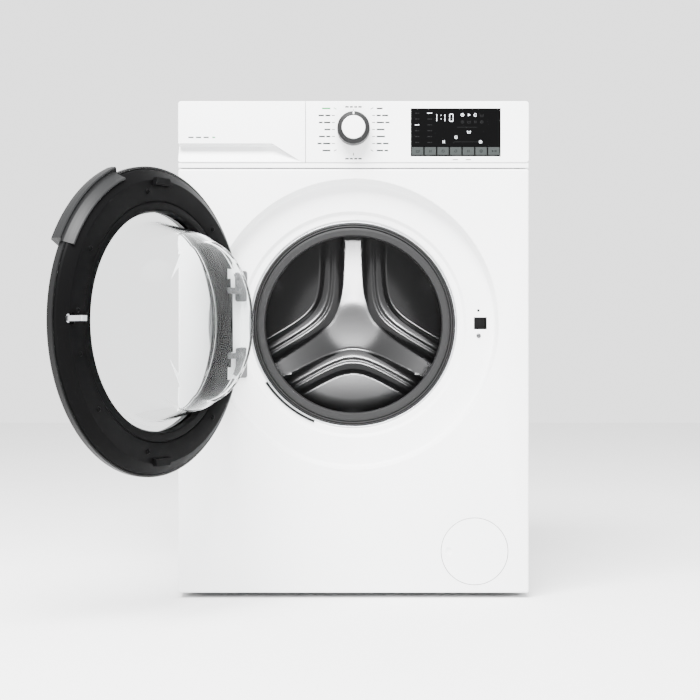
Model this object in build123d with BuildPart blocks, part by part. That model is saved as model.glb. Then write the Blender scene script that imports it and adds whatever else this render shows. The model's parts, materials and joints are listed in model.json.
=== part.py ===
"""Front loading washing machine, door held open: one function for each sub-part.

Frame: +X to the right of somebody facing the machine, +Y from the front to the back, +Z up.
The origin is on the floor, under the middle of the cabinet. Lengths are in millimetres.
"""

from build123d import *
import os
from math import cos, radians, sin, sqrt

os.makedirs("parts", exist_ok=True)

# Cabinet
WIDTH = 600.0
DEPTH = 550.0
HEIGHT = 850.0
FOOT_CLEAR = 9.0
FRONT = -DEPTH / 2
REAR = DEPTH / 2
SHEET = 1.2
FLANGE = 12.0
GAP = 0.5
LID_THICKNESS = 12.0
LID_UNDER = HEIGHT - LID_THICKNESS

# Front panel and its round dish
PANEL_TOP = 734.0
PANEL_DEPTH = 25.0
PANEL_EDGE = 4.0
PORT_Z = 468.5
DISH_R = 248.0
DISH_FLOOR_R = 243.5
DISH_DEPTH = 22.0
STEP_R = 195.0
STEP_DEPTH = 27.0
LIP_R = 179.0
LIP_DEPTH = 38.0

# Door seal
SEAL_R = 149.0
SEAL_WALL = 3.0
SEAL_FACE = FRONT + 27.0
SEAL_RIM = FRONT + 33.0
WIRE_R = 1.6

# Control fascia, drawer and beam
FASCIA_BOTTOM = 745.0
FASCIA_DEPTH = 25.0
FASCIA_BACK = FRONT + FASCIA_DEPTH
MOULD = 2.5
SEAM_X = -82.0
SEAM = 0.8
BEAM_BOTTOM = 736.0
BEAM_TOP = 743.8
GRIP_TOP = 778.0
GRIP_DEPTH = 18.0
GRIP_END_TOP = -139.0
GRIP_END_BOTTOM = -87.0

# Knob, display and keys
KNOB_Z = 801.5
KNOB_R = 28.0
KNOB_CAP_R = 20.0
KNOB_LENGTH = 31.0
KNOB_SHAFT_R = 3.0
RUNNING = 0.05
WINDOW_X = 174.75
WINDOW_Z = 796.6
WINDOW_W = 153.0
WINDOW_H = 81.4
KEY_COUNT = 7
KEY_PITCH = 21.7
KEY_W = 19.6
KEY_H = 13.4
KEY_Z = 764.4
KEY_PROUD = 0.9
KEY_LENGTH = 11.0
KEY_GAP = 0.35

# Dispenser
TRAY_LENGTH = 228.0
TRAY_X = -189.0
TRAY_W = 186.0
TRAY_BOTTOM = 753.0
TRAY_TOP = 822.0
HOUSING_W = 196.0
HOUSING_BOTTOM = 748.0
HOUSING_TOP = 836.0
HOUSING_BACK = -16.0
SPOUT_X = -150.0
SPOUT_Y = -50.0
SPOUT_R = 19.0

# Tub, drum and drive, along the drum's axis
TUB_R = 265.0
TUB_WALL = 4.0
TUB_FRONT = FRONT + 60.0
TUB_SPLIT = -100.0
TUB_BACK = 158.0
TUB_MOUTH_R = 172.0
TUB_FLANGE_R = 275.0
HUB_R = 42.0
HUB_END = 215.0
BEARING_R = 30.0
DRUM_R = 240.0
DRUM_SHEET = 1.2
DRUM_FRONT = TUB_FRONT + 12.0
DRUM_BACK = 125.0
DRUM_MOUTH_R = 166.0
SHAFT_R = 15.0
PULLEY_R = 140.0
PULLEY_FRONT = 236.0
PULLEY_W = 14.0
BELT_W = 10.0
BELT_T = 4.0
MOTOR_X = 70.0
MOTOR_Z = 150.0
MOTOR_R = 52.0
MOTOR_FRONT = 92.0
MOTOR_BACK = 222.0
MOTOR_PULLEY_R = 14.0
MOTOR_SHAFT_R = 6.0

# Suspension
SPRING_X = 272.0
SPRING_R = 10.0
SPRING_LOW = 632.0
SPRING_HIGH = 800.0
DAMPER_X = 150.0
DAMPER_R = 14.0
DAMPER_ROD_R = 5.0
PAN_HEIGHT = 29.0
PAN_TOP = FOOT_CLEAR + PAN_HEIGHT

# Pump, filter and service flap
PUMP_X = 207.0
PUMP_Z = 80.0
FILTER_BORE_R = 36.5
PUMP_TUBE_R = 40.0
FLAP_R = 56.75
FLAP_THICKNESS = 2.5
FLAP_CLIP_R = 53.0
FLAP_CLIP_REACH = 9.0
SUMP_X = 200.0
SUMP_Y = -140.0
SUMP_R = 22.0
DRAIN_X = 268.0
DRAIN_Z = 90.0
DRAIN_R = 12.0
SPIGOT_R = 10.0
SPIGOT_LENGTH = 18.0
INLET_X = -230.0
INLET_Z = 790.0
INLET_R = 13.2
MAINS_X = 240.0
MAINS_Z = 760.0

# Door, drawn closed and then swung open about its hinge
DOOR_OPEN = 120.0
HINGE_X = -213.0
HINGE_Y = FRONT - 7.5
DOOR_R = 245.0
DOOR_HOLE_R = 172.0
DOOR_WALL = 3.0
HINGE_PIN_R = 4.0
PLATE_H = 52.0
PLATE_END = 92.0
HINGE_HIGH = 58.0
HINGE_LOW = -54.0
LUG_H = 10.0
BOWL_R = 160.0
BOWL_SHOULDER_R = 140.0
BOWL_END_R = 122.0
BOWL_DEPTH = 106.0
GLASS = 4.0
HANDLE_FROM = 28.0
HANDLE_TO = 68.0
HANDLE_IN_R = 222.0
HANDLE_OUT_R = 255.0
LOCK_X = 218.8
LOCK_Z = PORT_Z + 2.0
SLOT_W = 22.4
SLOT_H = 21.0
HOOK_PIVOT_Y = FRONT + 4.0
HOOK_BOSS_R = 4.6
HOOK_BOSS_H = 13.0

# Levelling feet
FOOT_X = 245.0
FOOT_FRONT_Y = FRONT + 80.0
FOOT_BACK_Y = REAR - 60.0
FOOT_R = 19.0
FOOT_H = 7.0
FOOT_STEM_R = 5.0
FOOT_STEM_TOP = 34.0

DRUM_AXIS = Axis((0, 0, PORT_Z), (0, 1, 0))
DOOR_AXIS = Axis((HINGE_X, HINGE_Y, 0), (0, 0, 1))
RADIAL = Plane.XY.offset(PORT_Z)


def save(piece, node):
    """Label a finished piece and write its file."""
    piece.part.label = node
    export_step(piece.part, f"parts/{node}.step")


def save_door(piece, node):
    """Swing a piece of the closed door open, then label and write it."""
    opened = piece.part.rotate(DOOR_AXIS, -DOOR_OPEN)
    opened.label = node
    export_step(opened, f"parts/{node}.step")


def upright(y, x=0.0, z=PORT_Z):
    """A plane facing the front at depth y: sketch x is +X, sketch y is +Z, extrusions go to -Y."""
    return Plane(origin=(x, y, z), x_dir=(1, 0, 0), z_dir=(0, -1, 0))


def slab(x_low, x_high, y_low, y_high, z_low, z_high, mode=Mode.ADD):
    """A box between two opposite corners."""
    centre = ((x_low + x_high) / 2, (y_low + y_high) / 2, (z_low + z_high) / 2)
    with Locations(centre):
        Box(x_high - x_low, y_high - y_low, z_high - z_low, mode=mode)


def rod(x, z, r, y_low, y_high, mode=Mode.ADD):
    """A round bar along Y."""
    with BuildSketch(upright(y_high, x, z)) as section:
        Circle(r)
    extrude(section.sketch, amount=y_high - y_low, mode=mode)


def post(x, y, r, z_low, z_high, mode=Mode.ADD):
    """A round bar along Z."""
    with BuildSketch(Plane(origin=(x, y, z_low))) as section:
        Circle(r)
    extrude(section.sketch, amount=z_high - z_low, mode=mode)


def side_panel(node, side):
    """A folded sheet with a flange on all four edges and a shelf for the suspension spring."""
    wall = side * WIDTH / 2
    inner = side * (WIDTH / 2 - FLANGE)
    skin = side * (WIDTH / 2 - SHEET)
    y_low = FRONT + PANEL_DEPTH + GAP
    with BuildPart() as panel:
        slab(min(wall, inner), max(wall, inner), y_low, REAR, FOOT_CLEAR, LID_UNDER - GAP)
        slab(
            min(skin, inner), max(skin, inner), y_low + SHEET, REAR - SHEET,
            FOOT_CLEAR + SHEET, LID_UNDER - GAP - SHEET, mode=Mode.SUBTRACT,
        )
        shelf = side * (SPRING_X - SPRING_R)
        slab(min(skin, shelf), max(skin, shelf), -14, 14, SPRING_HIGH + GAP, SPRING_HIGH + 4)
    save(panel, node)


def rear_panel():
    """The back sheet, inside the side panels' flanges, with three holes for the services."""
    y_back = REAR - SHEET - 0.2
    half = WIDTH / 2 - SHEET - GAP
    z_low = FOOT_CLEAR + SHEET + GAP
    z_high = LID_UNDER - GAP - SHEET - GAP
    with BuildPart() as panel:
        slab(-half, half, y_back - FLANGE, y_back, z_low, z_high)
        slab(
            -half + SHEET, half - SHEET, y_back - FLANGE, y_back - SHEET,
            z_low + SHEET, z_high - SHEET, mode=Mode.SUBTRACT,
        )
        rod(INLET_X, INLET_Z, INLET_R + 3, y_back - FLANGE, REAR, mode=Mode.SUBTRACT)
        rod(DRAIN_X, DRAIN_Z, DRAIN_R + 1, y_back - FLANGE, REAR, mode=Mode.SUBTRACT)
        rod(MAINS_X, MAINS_Z, 11, y_back - FLANGE, REAR, mode=Mode.SUBTRACT)
    save(panel, "rear_panel")


def top_cover():
    """The lid: a board with rounded edges, behind the fascia's upper edge."""
    with BuildPart() as cover:
        slab(-WIDTH / 2, WIDTH / 2, FASCIA_BACK + GAP, REAR, LID_UNDER, HEIGHT)
        fillet(cover.edges().filter_by(Axis.Z).group_by(Axis.Y)[-1], 6)
        fillet(cover.faces().sort_by(Axis.Z)[-1].edges(), 1.5)
    save(cover, "top_cover")


def front_panel():
    """A pressed sheet with rounded edges, folded back all round, with a dish for the door.

    The dish goes down a steep wall to a flat floor, then a step to the lip that holds the seal.
    """
    height = PANEL_TOP - FOOT_CLEAR
    back = FRONT + PANEL_DEPTH
    with BuildPart() as panel:
        with BuildSketch(upright(back, 0, FOOT_CLEAR + height / 2)):
            RectangleRounded(WIDTH, height, PANEL_EDGE)
        extrude(amount=PANEL_DEPTH)
        fillet(panel.faces().sort_by(Axis.Y)[0].edges(), PANEL_EDGE - 0.5)
        offset(amount=-SHEET, openings=panel.faces().sort_by(Axis.Y)[-1])
        rod(0, PORT_Z, DISH_R + 2, FRONT - 1, back, mode=Mode.SUBTRACT)
        with BuildSketch(RADIAL):
            with BuildLine():
                FilletPolyline(
                    (DISH_R + 3, FRONT),
                    (DISH_R, FRONT),
                    (DISH_FLOOR_R, FRONT + DISH_DEPTH),
                    (STEP_R, FRONT + DISH_DEPTH),
                    (STEP_R - 5, FRONT + STEP_DEPTH),
                    (LIP_R, FRONT + STEP_DEPTH),
                    (LIP_R, FRONT + LIP_DEPTH),
                    radius=[2, 4, 2, 2, 3],
                )
                offset(amount=SHEET, side=Side.RIGHT)
            make_face()
        revolve(axis=DRUM_AXIS)
        slab(
            LOCK_X - SLOT_W / 2, LOCK_X + SLOT_W / 2, FRONT, back + 5,
            LOCK_Z - SLOT_H / 2, LOCK_Z + SLOT_H / 2, mode=Mode.SUBTRACT,
        )
        rod(LOCK_X - 3.4, LOCK_Z + 22, 2.4, FRONT, back + 5, mode=Mode.SUBTRACT)
        rod(LOCK_X - 3, LOCK_Z - 21.5, 2.4, FRONT, back + 5, mode=Mode.SUBTRACT)
        rod(PUMP_X, PUMP_Z, FLAP_R + 1, FRONT - 1, back, mode=Mode.SUBTRACT)
    save(panel, "front_panel")


def base_pan():
    """The moulded floor tray, with a bush for each foot."""
    y_low = FRONT + PANEL_DEPTH + 3
    y_high = REAR - FLANGE - 4
    half = WIDTH / 2 - FLANGE - 1
    wall = 3.0
    with BuildPart() as pan:
        slab(-half, half, y_low, y_high, FOOT_CLEAR + SHEET + GAP, PAN_TOP)
        fillet(pan.edges().filter_by(Axis.Z), 12)
        offset(amount=-wall, openings=pan.faces().sort_by(Axis.Z)[-1])
        for x in (-FOOT_X, FOOT_X):
            for y in (FOOT_FRONT_Y, FOOT_BACK_Y):
                post(x, y, FOOT_STEM_R + 5, FOOT_CLEAR + SHEET + GAP, PAN_TOP)
                post(x, y, FOOT_STEM_R + RUNNING, FOOT_CLEAR, PAN_TOP, mode=Mode.SUBTRACT)
        for x in (-DAMPER_X, DAMPER_X):
            post(x, 0, DAMPER_R + 4, FOOT_CLEAR + SHEET + GAP, PAN_TOP)
    save(pan, "base_pan")


def front_beam():
    """The channel across the front that shows as a narrow strip under the fascia."""
    with BuildPart() as beam:
        slab(-WIDTH / 2 + GAP, WIDTH / 2 - GAP, FRONT + 0.6, FASCIA_BACK, BEAM_BOTTOM, BEAM_TOP)
        fillet(beam.faces().sort_by(Axis.Y)[0].edges(), 1)
        offset(amount=-SHEET, openings=beam.faces().sort_by(Axis.Y)[-1])
    save(beam, "front_beam")


def control_fascia():
    """The moulded control panel to the right of the drawer, open at its back."""
    x_low = SEAM_X + SEAM / 2
    with BuildPart() as fascia:
        slab(x_low, WIDTH / 2, FRONT, FASCIA_BACK, FASCIA_BOTTOM, HEIGHT)
        fillet(fascia.edges().filter_by(Axis.Y).group_by(Axis.X)[-1], 5)
        front_edges = fascia.faces().sort_by(Axis.Y)[0].edges()
        fillet(front_edges, 1.5)
        offset(amount=-MOULD, openings=fascia.faces().sort_by(Axis.Y)[-1])
        rod(0, KNOB_Z, KNOB_SHAFT_R + 5, FRONT + 1, FRONT + 10)
        rod(0, KNOB_Z, KNOB_SHAFT_R + RUNNING, FRONT - 1, FRONT + 11, mode=Mode.SUBTRACT)
        slab(
            WINDOW_X - WINDOW_W / 2 - GAP, WINDOW_X + WINDOW_W / 2 + GAP, FRONT - 1, FRONT + 5,
            WINDOW_Z - WINDOW_H / 2 - GAP, WINDOW_Z + WINDOW_H / 2 + GAP, mode=Mode.SUBTRACT,
        )
    save(fascia, "control_fascia")


def key_x(index):
    """The middle of a key, counted from the left."""
    return WINDOW_X + (index - (KEY_COUNT - 1) / 2) * KEY_PITCH


def display_window():
    """A dark pane held behind the fascia by a rim, with a slot for each key."""
    with BuildPart() as pane:
        slab(
            WINDOW_X - WINDOW_W / 2, WINDOW_X + WINDOW_W / 2, FRONT - 0.3, FRONT + MOULD + 0.1,
            WINDOW_Z - WINDOW_H / 2, WINDOW_Z + WINDOW_H / 2,
        )
        fillet(pane.edges().filter_by(Axis.Y), 1.5)
        slab(
            WINDOW_X - WINDOW_W / 2 - 3, WINDOW_X + WINDOW_W / 2 + 3, FRONT + MOULD + 0.1,
            FRONT + MOULD + 2.1, WINDOW_Z - WINDOW_H / 2 - 3, WINDOW_Z + WINDOW_H / 2 + 3,
        )
        for index in range(KEY_COUNT):
            middle = key_x(index)
            slab(
                middle - KEY_W / 2 - KEY_GAP, middle + KEY_W / 2 + KEY_GAP, FRONT - 1, FRONT + 6,
                KEY_Z - KEY_H / 2 - KEY_GAP, KEY_Z + KEY_H / 2 + KEY_GAP, mode=Mode.SUBTRACT,
            )
    save(pane, "display_window")


def keys():
    """The row of push keys under the display."""
    for index in range(KEY_COUNT):
        middle = key_x(index)
        y_front = FRONT - 0.3 - KEY_PROUD
        with BuildPart() as key:
            slab(
                middle - KEY_W / 2, middle + KEY_W / 2, y_front, y_front + KEY_LENGTH,
                KEY_Z - KEY_H / 2, KEY_Z + KEY_H / 2,
            )
            fillet(key.edges().filter_by(Axis.Y), 1)
            fillet(key.faces().sort_by(Axis.Y)[0].edges(), 0.5)
        save(key, f"key_{index + 1}")


def program_knob():
    """The turning knob: a skirt with a sloping rim, a shallow cap and its shaft."""
    nose = FRONT - KNOB_LENGTH
    with BuildPart() as knob:
        with BuildSketch(Plane.XY.offset(KNOB_Z)):
            with BuildLine():
                Polyline(
                    (0, FRONT + 9),
                    (KNOB_SHAFT_R, FRONT + 9),
                    (KNOB_SHAFT_R, FRONT - 1),
                    (KNOB_R, FRONT - 1),
                    (KNOB_R - 0.5, nose + 5),
                    (KNOB_CAP_R + 0.6, nose + 1),
                    (KNOB_CAP_R, nose),
                    (0, nose),
                    (0, FRONT + 9),
                )
            make_face()
        revolve(axis=Axis((0, 0, KNOB_Z), (0, 1, 0)))
        slab(-1.1, 1.1, nose - 1, nose + 4, KNOB_Z + KNOB_CAP_R + 1, KNOB_Z + KNOB_R + 1, mode=Mode.SUBTRACT)
    save(knob, "program_knob")


def drawer_front():
    """The drawer's moulded face, with a ramp under its lip for the fingers."""
    x_high = SEAM_X - SEAM / 2
    ramp_low = FASCIA_BOTTOM
    with BuildPart() as face:
        slab(-WIDTH / 2, x_high, FRONT, FASCIA_BACK, FASCIA_BOTTOM, HEIGHT)
        fillet(face.edges().filter_by(Axis.Y).group_by(Axis.X)[0], 5)
        fillet(face.faces().sort_by(Axis.Y)[0].edges(), 1.5)
        with BuildPart(mode=Mode.PRIVATE) as scoop:
            with BuildSketch(upright(FRONT + GRIP_DEPTH + 1, 0, 0)):
                with BuildLine():
                    Polyline(
                        (-WIDTH / 2 - 1, ramp_low),
                        (GRIP_END_BOTTOM, ramp_low),
                        (GRIP_END_TOP, GRIP_TOP),
                        (-WIDTH / 2 - 1, GRIP_TOP),
                        close=True,
                    )
                make_face()
            extrude(amount=GRIP_DEPTH + 3)
            with BuildSketch(Plane.YZ.offset(-WIDTH / 2 - 2)):
                with BuildLine():
                    Polyline(
                        (FRONT - 3, ramp_low + 1.5),
                        (FRONT + 0.01, ramp_low + 1.5),
                        (FRONT + GRIP_DEPTH, GRIP_TOP - 4),
                        (FRONT + GRIP_DEPTH, GRIP_TOP + 1),
                        (FRONT - 3, GRIP_TOP + 1),
                        close=True,
                    )
                make_face()
            extrude(amount=WIDTH / 2, mode=Mode.INTERSECT)
        add(scoop.part, mode=Mode.SUBTRACT)
        slab(
            -WIDTH / 2 + MOULD, GRIP_END_TOP - 14, FRONT + 3, FRONT + GRIP_DEPTH - 3,
            GRIP_TOP - 1, GRIP_TOP + 10, mode=Mode.SUBTRACT,
        )
        slab(
            -WIDTH / 2 + MOULD, x_high - MOULD, FRONT + MOULD, FASCIA_BACK + 1,
            GRIP_TOP + 13, HEIGHT - MOULD, mode=Mode.SUBTRACT,
        )
    save(face, "drawer_front")


def drawer_tray():
    """The sliding tray, with two wide compartments and a narrow one between them."""
    y_low = FASCIA_BACK
    wall = 2.5
    left = TRAY_X - TRAY_W / 2
    with BuildPart() as tray:
        slab(left, left + TRAY_W, y_low, y_low + TRAY_LENGTH, TRAY_BOTTOM, TRAY_TOP)
        fillet(tray.edges().filter_by(Axis.Z).group_by(Axis.Y)[-1], 10)
        edges = (left + wall, left + 78, left + 118, left + TRAY_W)
        for start, stop in zip(edges, edges[1:]):
            slab(
                start, stop - wall, y_low + wall, y_low + TRAY_LENGTH - 12,
                TRAY_BOTTOM + wall, TRAY_TOP + 1, mode=Mode.SUBTRACT,
            )
    save(tray, "drawer_tray")


def dispenser_housing():
    """The box that the drawer slides in, with a spout under it."""
    half = HOUSING_W / 2
    y_low = FASCIA_BACK + GAP
    with BuildPart() as housing:
        slab(TRAY_X - half, TRAY_X + half, y_low, HOUSING_BACK, HOUSING_BOTTOM, HOUSING_TOP)
        offset(amount=-2.5, openings=housing.faces().sort_by(Axis.Y)[0])
        post(SPOUT_X, SPOUT_Y, SPOUT_R, HOUSING_BOTTOM - 22, HOUSING_BOTTOM + 1)
        post(SPOUT_X, SPOUT_Y, SPOUT_R - 2.5, HOUSING_BOTTOM - 23, HOUSING_BOTTOM + 5, mode=Mode.SUBTRACT)
    save(housing, "dispenser_housing")


def inlet_valve():
    """The fill valve: a threaded nozzle through the back, a coil and a pipe to the dispenser."""
    with BuildPart() as valve:
        rod(INLET_X, INLET_Z, INLET_R + 1.5, REAR - 16, REAR)
        rod(INLET_X, INLET_Z, INLET_R, REAR - 1, REAR + 15)
        slab(INLET_X - 20, INLET_X + 20, REAR - 60, REAR - 15, INLET_Z - 20, INLET_Z + 20)
        slab(INLET_X - 13, INLET_X + 13, REAR - 55, REAR - 25, INLET_Z + 20, INLET_Z + 44)
        rod(INLET_X, INLET_Z, 8, HOUSING_BACK + 0.2, REAR - 59)
        rod(INLET_X, INLET_Z, 9, REAR - 20, REAR + 16, mode=Mode.SUBTRACT)
    save(valve, "inlet_valve")


def hose_tube(node, x, y, r, z_low, z_high):
    """A short rubber hose standing between two spouts."""
    with BuildPart() as hose:
        post(x, y, r + 4, z_low, z_high)
        post(x, y, r + 0.4, z_low - 1, z_high + 1, mode=Mode.SUBTRACT)
    save(hose, node)


def mains_inlet():
    """The gland that the mains lead would pass through, with its terminal box."""
    with BuildPart() as gland:
        rod(MAINS_X, MAINS_Z, 10.5, REAR - 20, REAR + 4)
        slab(MAINS_X - 18, MAINS_X + 18, REAR - 45, REAR - 18, MAINS_Z - 16, MAINS_Z + 16)
        rod(MAINS_X, MAINS_Z, 4.5, REAR - 30, REAR + 5, mode=Mode.SUBTRACT)
    save(gland, "mains_inlet")


def pump_body():
    """Filter housing, volute, motor and sump spout of the drain pump."""
    tube_front = FRONT + 13
    volute = -120.0
    with BuildPart() as pump:
        rod(PUMP_X, PUMP_Z, PUMP_TUBE_R, tube_front, volute)
        rod(PUMP_X, PUMP_Z, 46, volute, volute + 32)
        rod(PUMP_X, PUMP_Z, 30, volute + 32, volute + 92)
        post(SUMP_X, SUMP_Y, SUMP_R, PUMP_Z + 20, PUMP_Z + 62)
        slab(PUMP_X + 20, DRAIN_X - DRAIN_R - 0.3, volute + 4, volute + 24, PUMP_Z, PUMP_Z + 20)
        rod(PUMP_X, PUMP_Z, FILTER_BORE_R, tube_front - 1, volute + 2, mode=Mode.SUBTRACT)
        rod(PUMP_X, PUMP_Z, 38, volute + 1, volute + 28, mode=Mode.SUBTRACT)
        rod(PUMP_X, PUMP_Z, 3 + RUNNING, volute + 27, volute + 58, mode=Mode.SUBTRACT)
        post(SUMP_X, SUMP_Y, SUMP_R - 3, PUMP_Z + 20, PUMP_Z + 63, mode=Mode.SUBTRACT)
        slab(PUMP_X - 47, PUMP_X + 47, volute - 2, volute + 34, 0, PAN_TOP + 1, mode=Mode.SUBTRACT)
    save(pump, "pump_body")


def pump_impeller():
    """The pump's wheel: a shaft, a disc and four vanes."""
    front = -114.0
    with BuildPart() as wheel:
        rod(PUMP_X, PUMP_Z, 3, front + 4, front + 50)
        rod(PUMP_X, PUMP_Z, 28, front + 14, front + 17)
        rod(PUMP_X, PUMP_Z, 8, front, front + 17)
        with BuildSketch(upright(front + 15, PUMP_X, PUMP_Z)):
            Rectangle(54, 3)
            Rectangle(3, 54)
        extrude(amount=13)
    save(wheel, "pump_impeller")


def pump_filter():
    """The screw-in filter: a capped, slotted cage with a grip across its face."""
    face = FRONT + 12
    with BuildPart() as strainer:
        rod(PUMP_X, PUMP_Z, FILTER_BORE_R - 0.6, face, face + 14)
        rod(PUMP_X, PUMP_Z, 30, face + 13, face + 90)
        rod(PUMP_X, PUMP_Z, 26, face + 18, face + 91, mode=Mode.SUBTRACT)
        with BuildSketch(upright(face, PUMP_X, PUMP_Z)):
            RectangleRounded(60, 9, 2)
        extrude(amount=3.5)
        for low in (22, 44, 66):
            slab(
                PUMP_X - 31, PUMP_X + 31, face + low, face + low + 14, PUMP_Z - 12, PUMP_Z + 12,
                mode=Mode.SUBTRACT,
            )
    save(strainer, "pump_filter")


def service_flap():
    """The round pull-off flap in front of the filter, with a finger dimple and four clips."""
    with BuildPart() as flap:
        rod(PUMP_X, PUMP_Z, FLAP_R, FRONT, FRONT + FLAP_THICKNESS)
        fillet(flap.faces().sort_by(Axis.Y)[0].edges(), 0.8)
        rod(PUMP_X - 43.3, PUMP_Z + 0.5, 7.2, FRONT - 1, FRONT + 1.6, mode=Mode.SUBTRACT)
        with BuildSketch(upright(FRONT + FLAP_CLIP_REACH, PUMP_X, PUMP_Z)):
            with PolarLocations(FLAP_CLIP_R, 4, start_angle=45):
                Rectangle(2, 12)
        extrude(amount=FLAP_CLIP_REACH - 1)
    save(flap, "service_flap")


def drain_outlet():
    """The drain pipe from the pump, ending in a spigot through the back."""
    with BuildPart() as pipe:
        rod(DRAIN_X, DRAIN_Z, DRAIN_R, -120, REAR)
        rod(DRAIN_X, DRAIN_Z, SPIGOT_R, REAR - 1, REAR + SPIGOT_LENGTH)
        rod(DRAIN_X, DRAIN_Z, SPIGOT_R - 2, -117, REAR + SPIGOT_LENGTH + 1, mode=Mode.SUBTRACT)
    save(pipe, "drain_outlet")


def hinge_bracket():
    """Two steel brackets on the dish floor, each with a lug that reaches out to the hinge line."""
    floor = FRONT + DISH_DEPTH
    with BuildPart() as bracket:
        for low in (-PLATE_END, PLATE_END - PLATE_H):
            slab(
                HINGE_X + 10, HINGE_X + 30, floor - 3, floor - 0.2,
                PORT_Z + low, PORT_Z + low + PLATE_H,
            )
        fillet(bracket.edges().filter_by(Axis.Y), 4)
        for level in (HINGE_LOW, HINGE_HIGH):
            low = PORT_Z + level - LUG_H / 2
            slab(HINGE_X + 1, HINGE_X + 24, HINGE_Y + 2, floor - 1, low, low + LUG_H)
            post(HINGE_X, HINGE_Y, 8, low, low + LUG_H)
            post(HINGE_X, HINGE_Y, HINGE_PIN_R + RUNNING, low - 1, low + LUG_H + 1, mode=Mode.SUBTRACT)
    save(bracket, "hinge_bracket")


def door_lock():
    """The lock behind the panel, with a square pocket for the door's hook."""
    front = FRONT + DISH_DEPTH + SHEET + 0.2
    with BuildPart() as lock:
        slab(LOCK_X - 18, LOCK_X + 17, front, front + 26, LOCK_Z - 34, LOCK_Z + 34)
        fillet(lock.edges().filter_by(Axis.Y), 3)
        slab(
            LOCK_X - SLOT_W / 2 + 0.5, LOCK_X + SLOT_W / 2 - 0.5, front - 1, front + 22,
            LOCK_Z - SLOT_H / 2 + 0.5, LOCK_Z + SLOT_H / 2 - 0.5, mode=Mode.SUBTRACT,
        )
    save(lock, "door_lock")


def door_gasket():
    """The bellows seal between the panel's lip and the tub's mouth, as one closed ring."""
    rim = LIP_R - 0.3
    tub_end = TUB_MOUTH_R - 0.3
    with BuildPart() as seal:
        with BuildSketch(RADIAL):
            with BuildLine():
                FilletPolyline(
                    (rim, SEAL_RIM),
                    (rim, SEAL_RIM + 5),
                    (SEAL_R + 20, SEAL_RIM + 5),
                    (SEAL_R + 18, SEAL_FACE + SEAL_WALL),
                    (SEAL_R + SEAL_WALL, SEAL_FACE + SEAL_WALL),
                    (SEAL_R + SEAL_WALL, SEAL_FACE + 13),
                    (tub_end, SEAL_FACE + 22),
                    (tub_end, TUB_FRONT + TUB_WALL),
                    radius=1.5,
                )
                offset(amount=SEAL_WALL, side=Side.LEFT)
            make_face()
        revolve(axis=DRUM_AXIS)
    save(seal, "door_gasket")


def gasket_clamp():
    """The wire ring that holds the seal in the panel's lip."""
    with BuildPart() as clamp:
        with BuildSketch(RADIAL):
            with Locations((LIP_R - WIRE_R - 0.4, SEAL_RIM - WIRE_R - 0.2)):
                Circle(WIRE_R)
        revolve(axis=DRUM_AXIS)
    save(clamp, "gasket_clamp")


def damper_parts():
    """The friction dampers under the tub: two cylinders on the base, two rods on the tub."""
    low = PAN_TOP + 0.2
    with BuildPart() as cylinders:
        for x in (-DAMPER_X, DAMPER_X):
            post(x, 0, DAMPER_R, low, 165)
            post(x, 0, DAMPER_ROD_R + RUNNING, low + 6, 166, mode=Mode.SUBTRACT)
    save(cylinders, "damper_cylinders")
    lug_under = PORT_Z - sqrt(TUB_R**2 - DAMPER_X**2) - 20
    with BuildPart() as rods:
        for x in (-DAMPER_X, DAMPER_X):
            post(x, 0, DAMPER_ROD_R, low + 40, lug_under)
    save(rods, "damper_rods")


def tub_springs():
    """The two suspension springs, each as its plain outer cylinder."""
    with BuildPart() as springs:
        for x in (-SPRING_X, SPRING_X):
            post(x, 0, SPRING_R, SPRING_LOW, SPRING_HIGH)
    save(springs, "tub_springs")


def tub_front():
    """The front half of the tub: wall, front ring, flange and sump spout."""
    spout_top = PORT_Z - 150
    with BuildPart() as half:
        rod(0, PORT_Z, TUB_R, TUB_FRONT, TUB_SPLIT - 0.2)
        rod(0, PORT_Z, TUB_FLANGE_R, TUB_SPLIT - 8, TUB_SPLIT - 0.2)
        post(SUMP_X, SUMP_Y, SUMP_R, PUMP_Z + 168, spout_top)
        post(SUMP_X, SUMP_Y, SUMP_R - 3, PUMP_Z + 167, spout_top, mode=Mode.SUBTRACT)
        rod(0, PORT_Z, TUB_R - TUB_WALL, TUB_FRONT + TUB_WALL, TUB_SPLIT, mode=Mode.SUBTRACT)
        rod(0, PORT_Z, TUB_MOUTH_R, TUB_FRONT - 1, TUB_SPLIT, mode=Mode.SUBTRACT)
    save(half, "tub_front")


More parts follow.
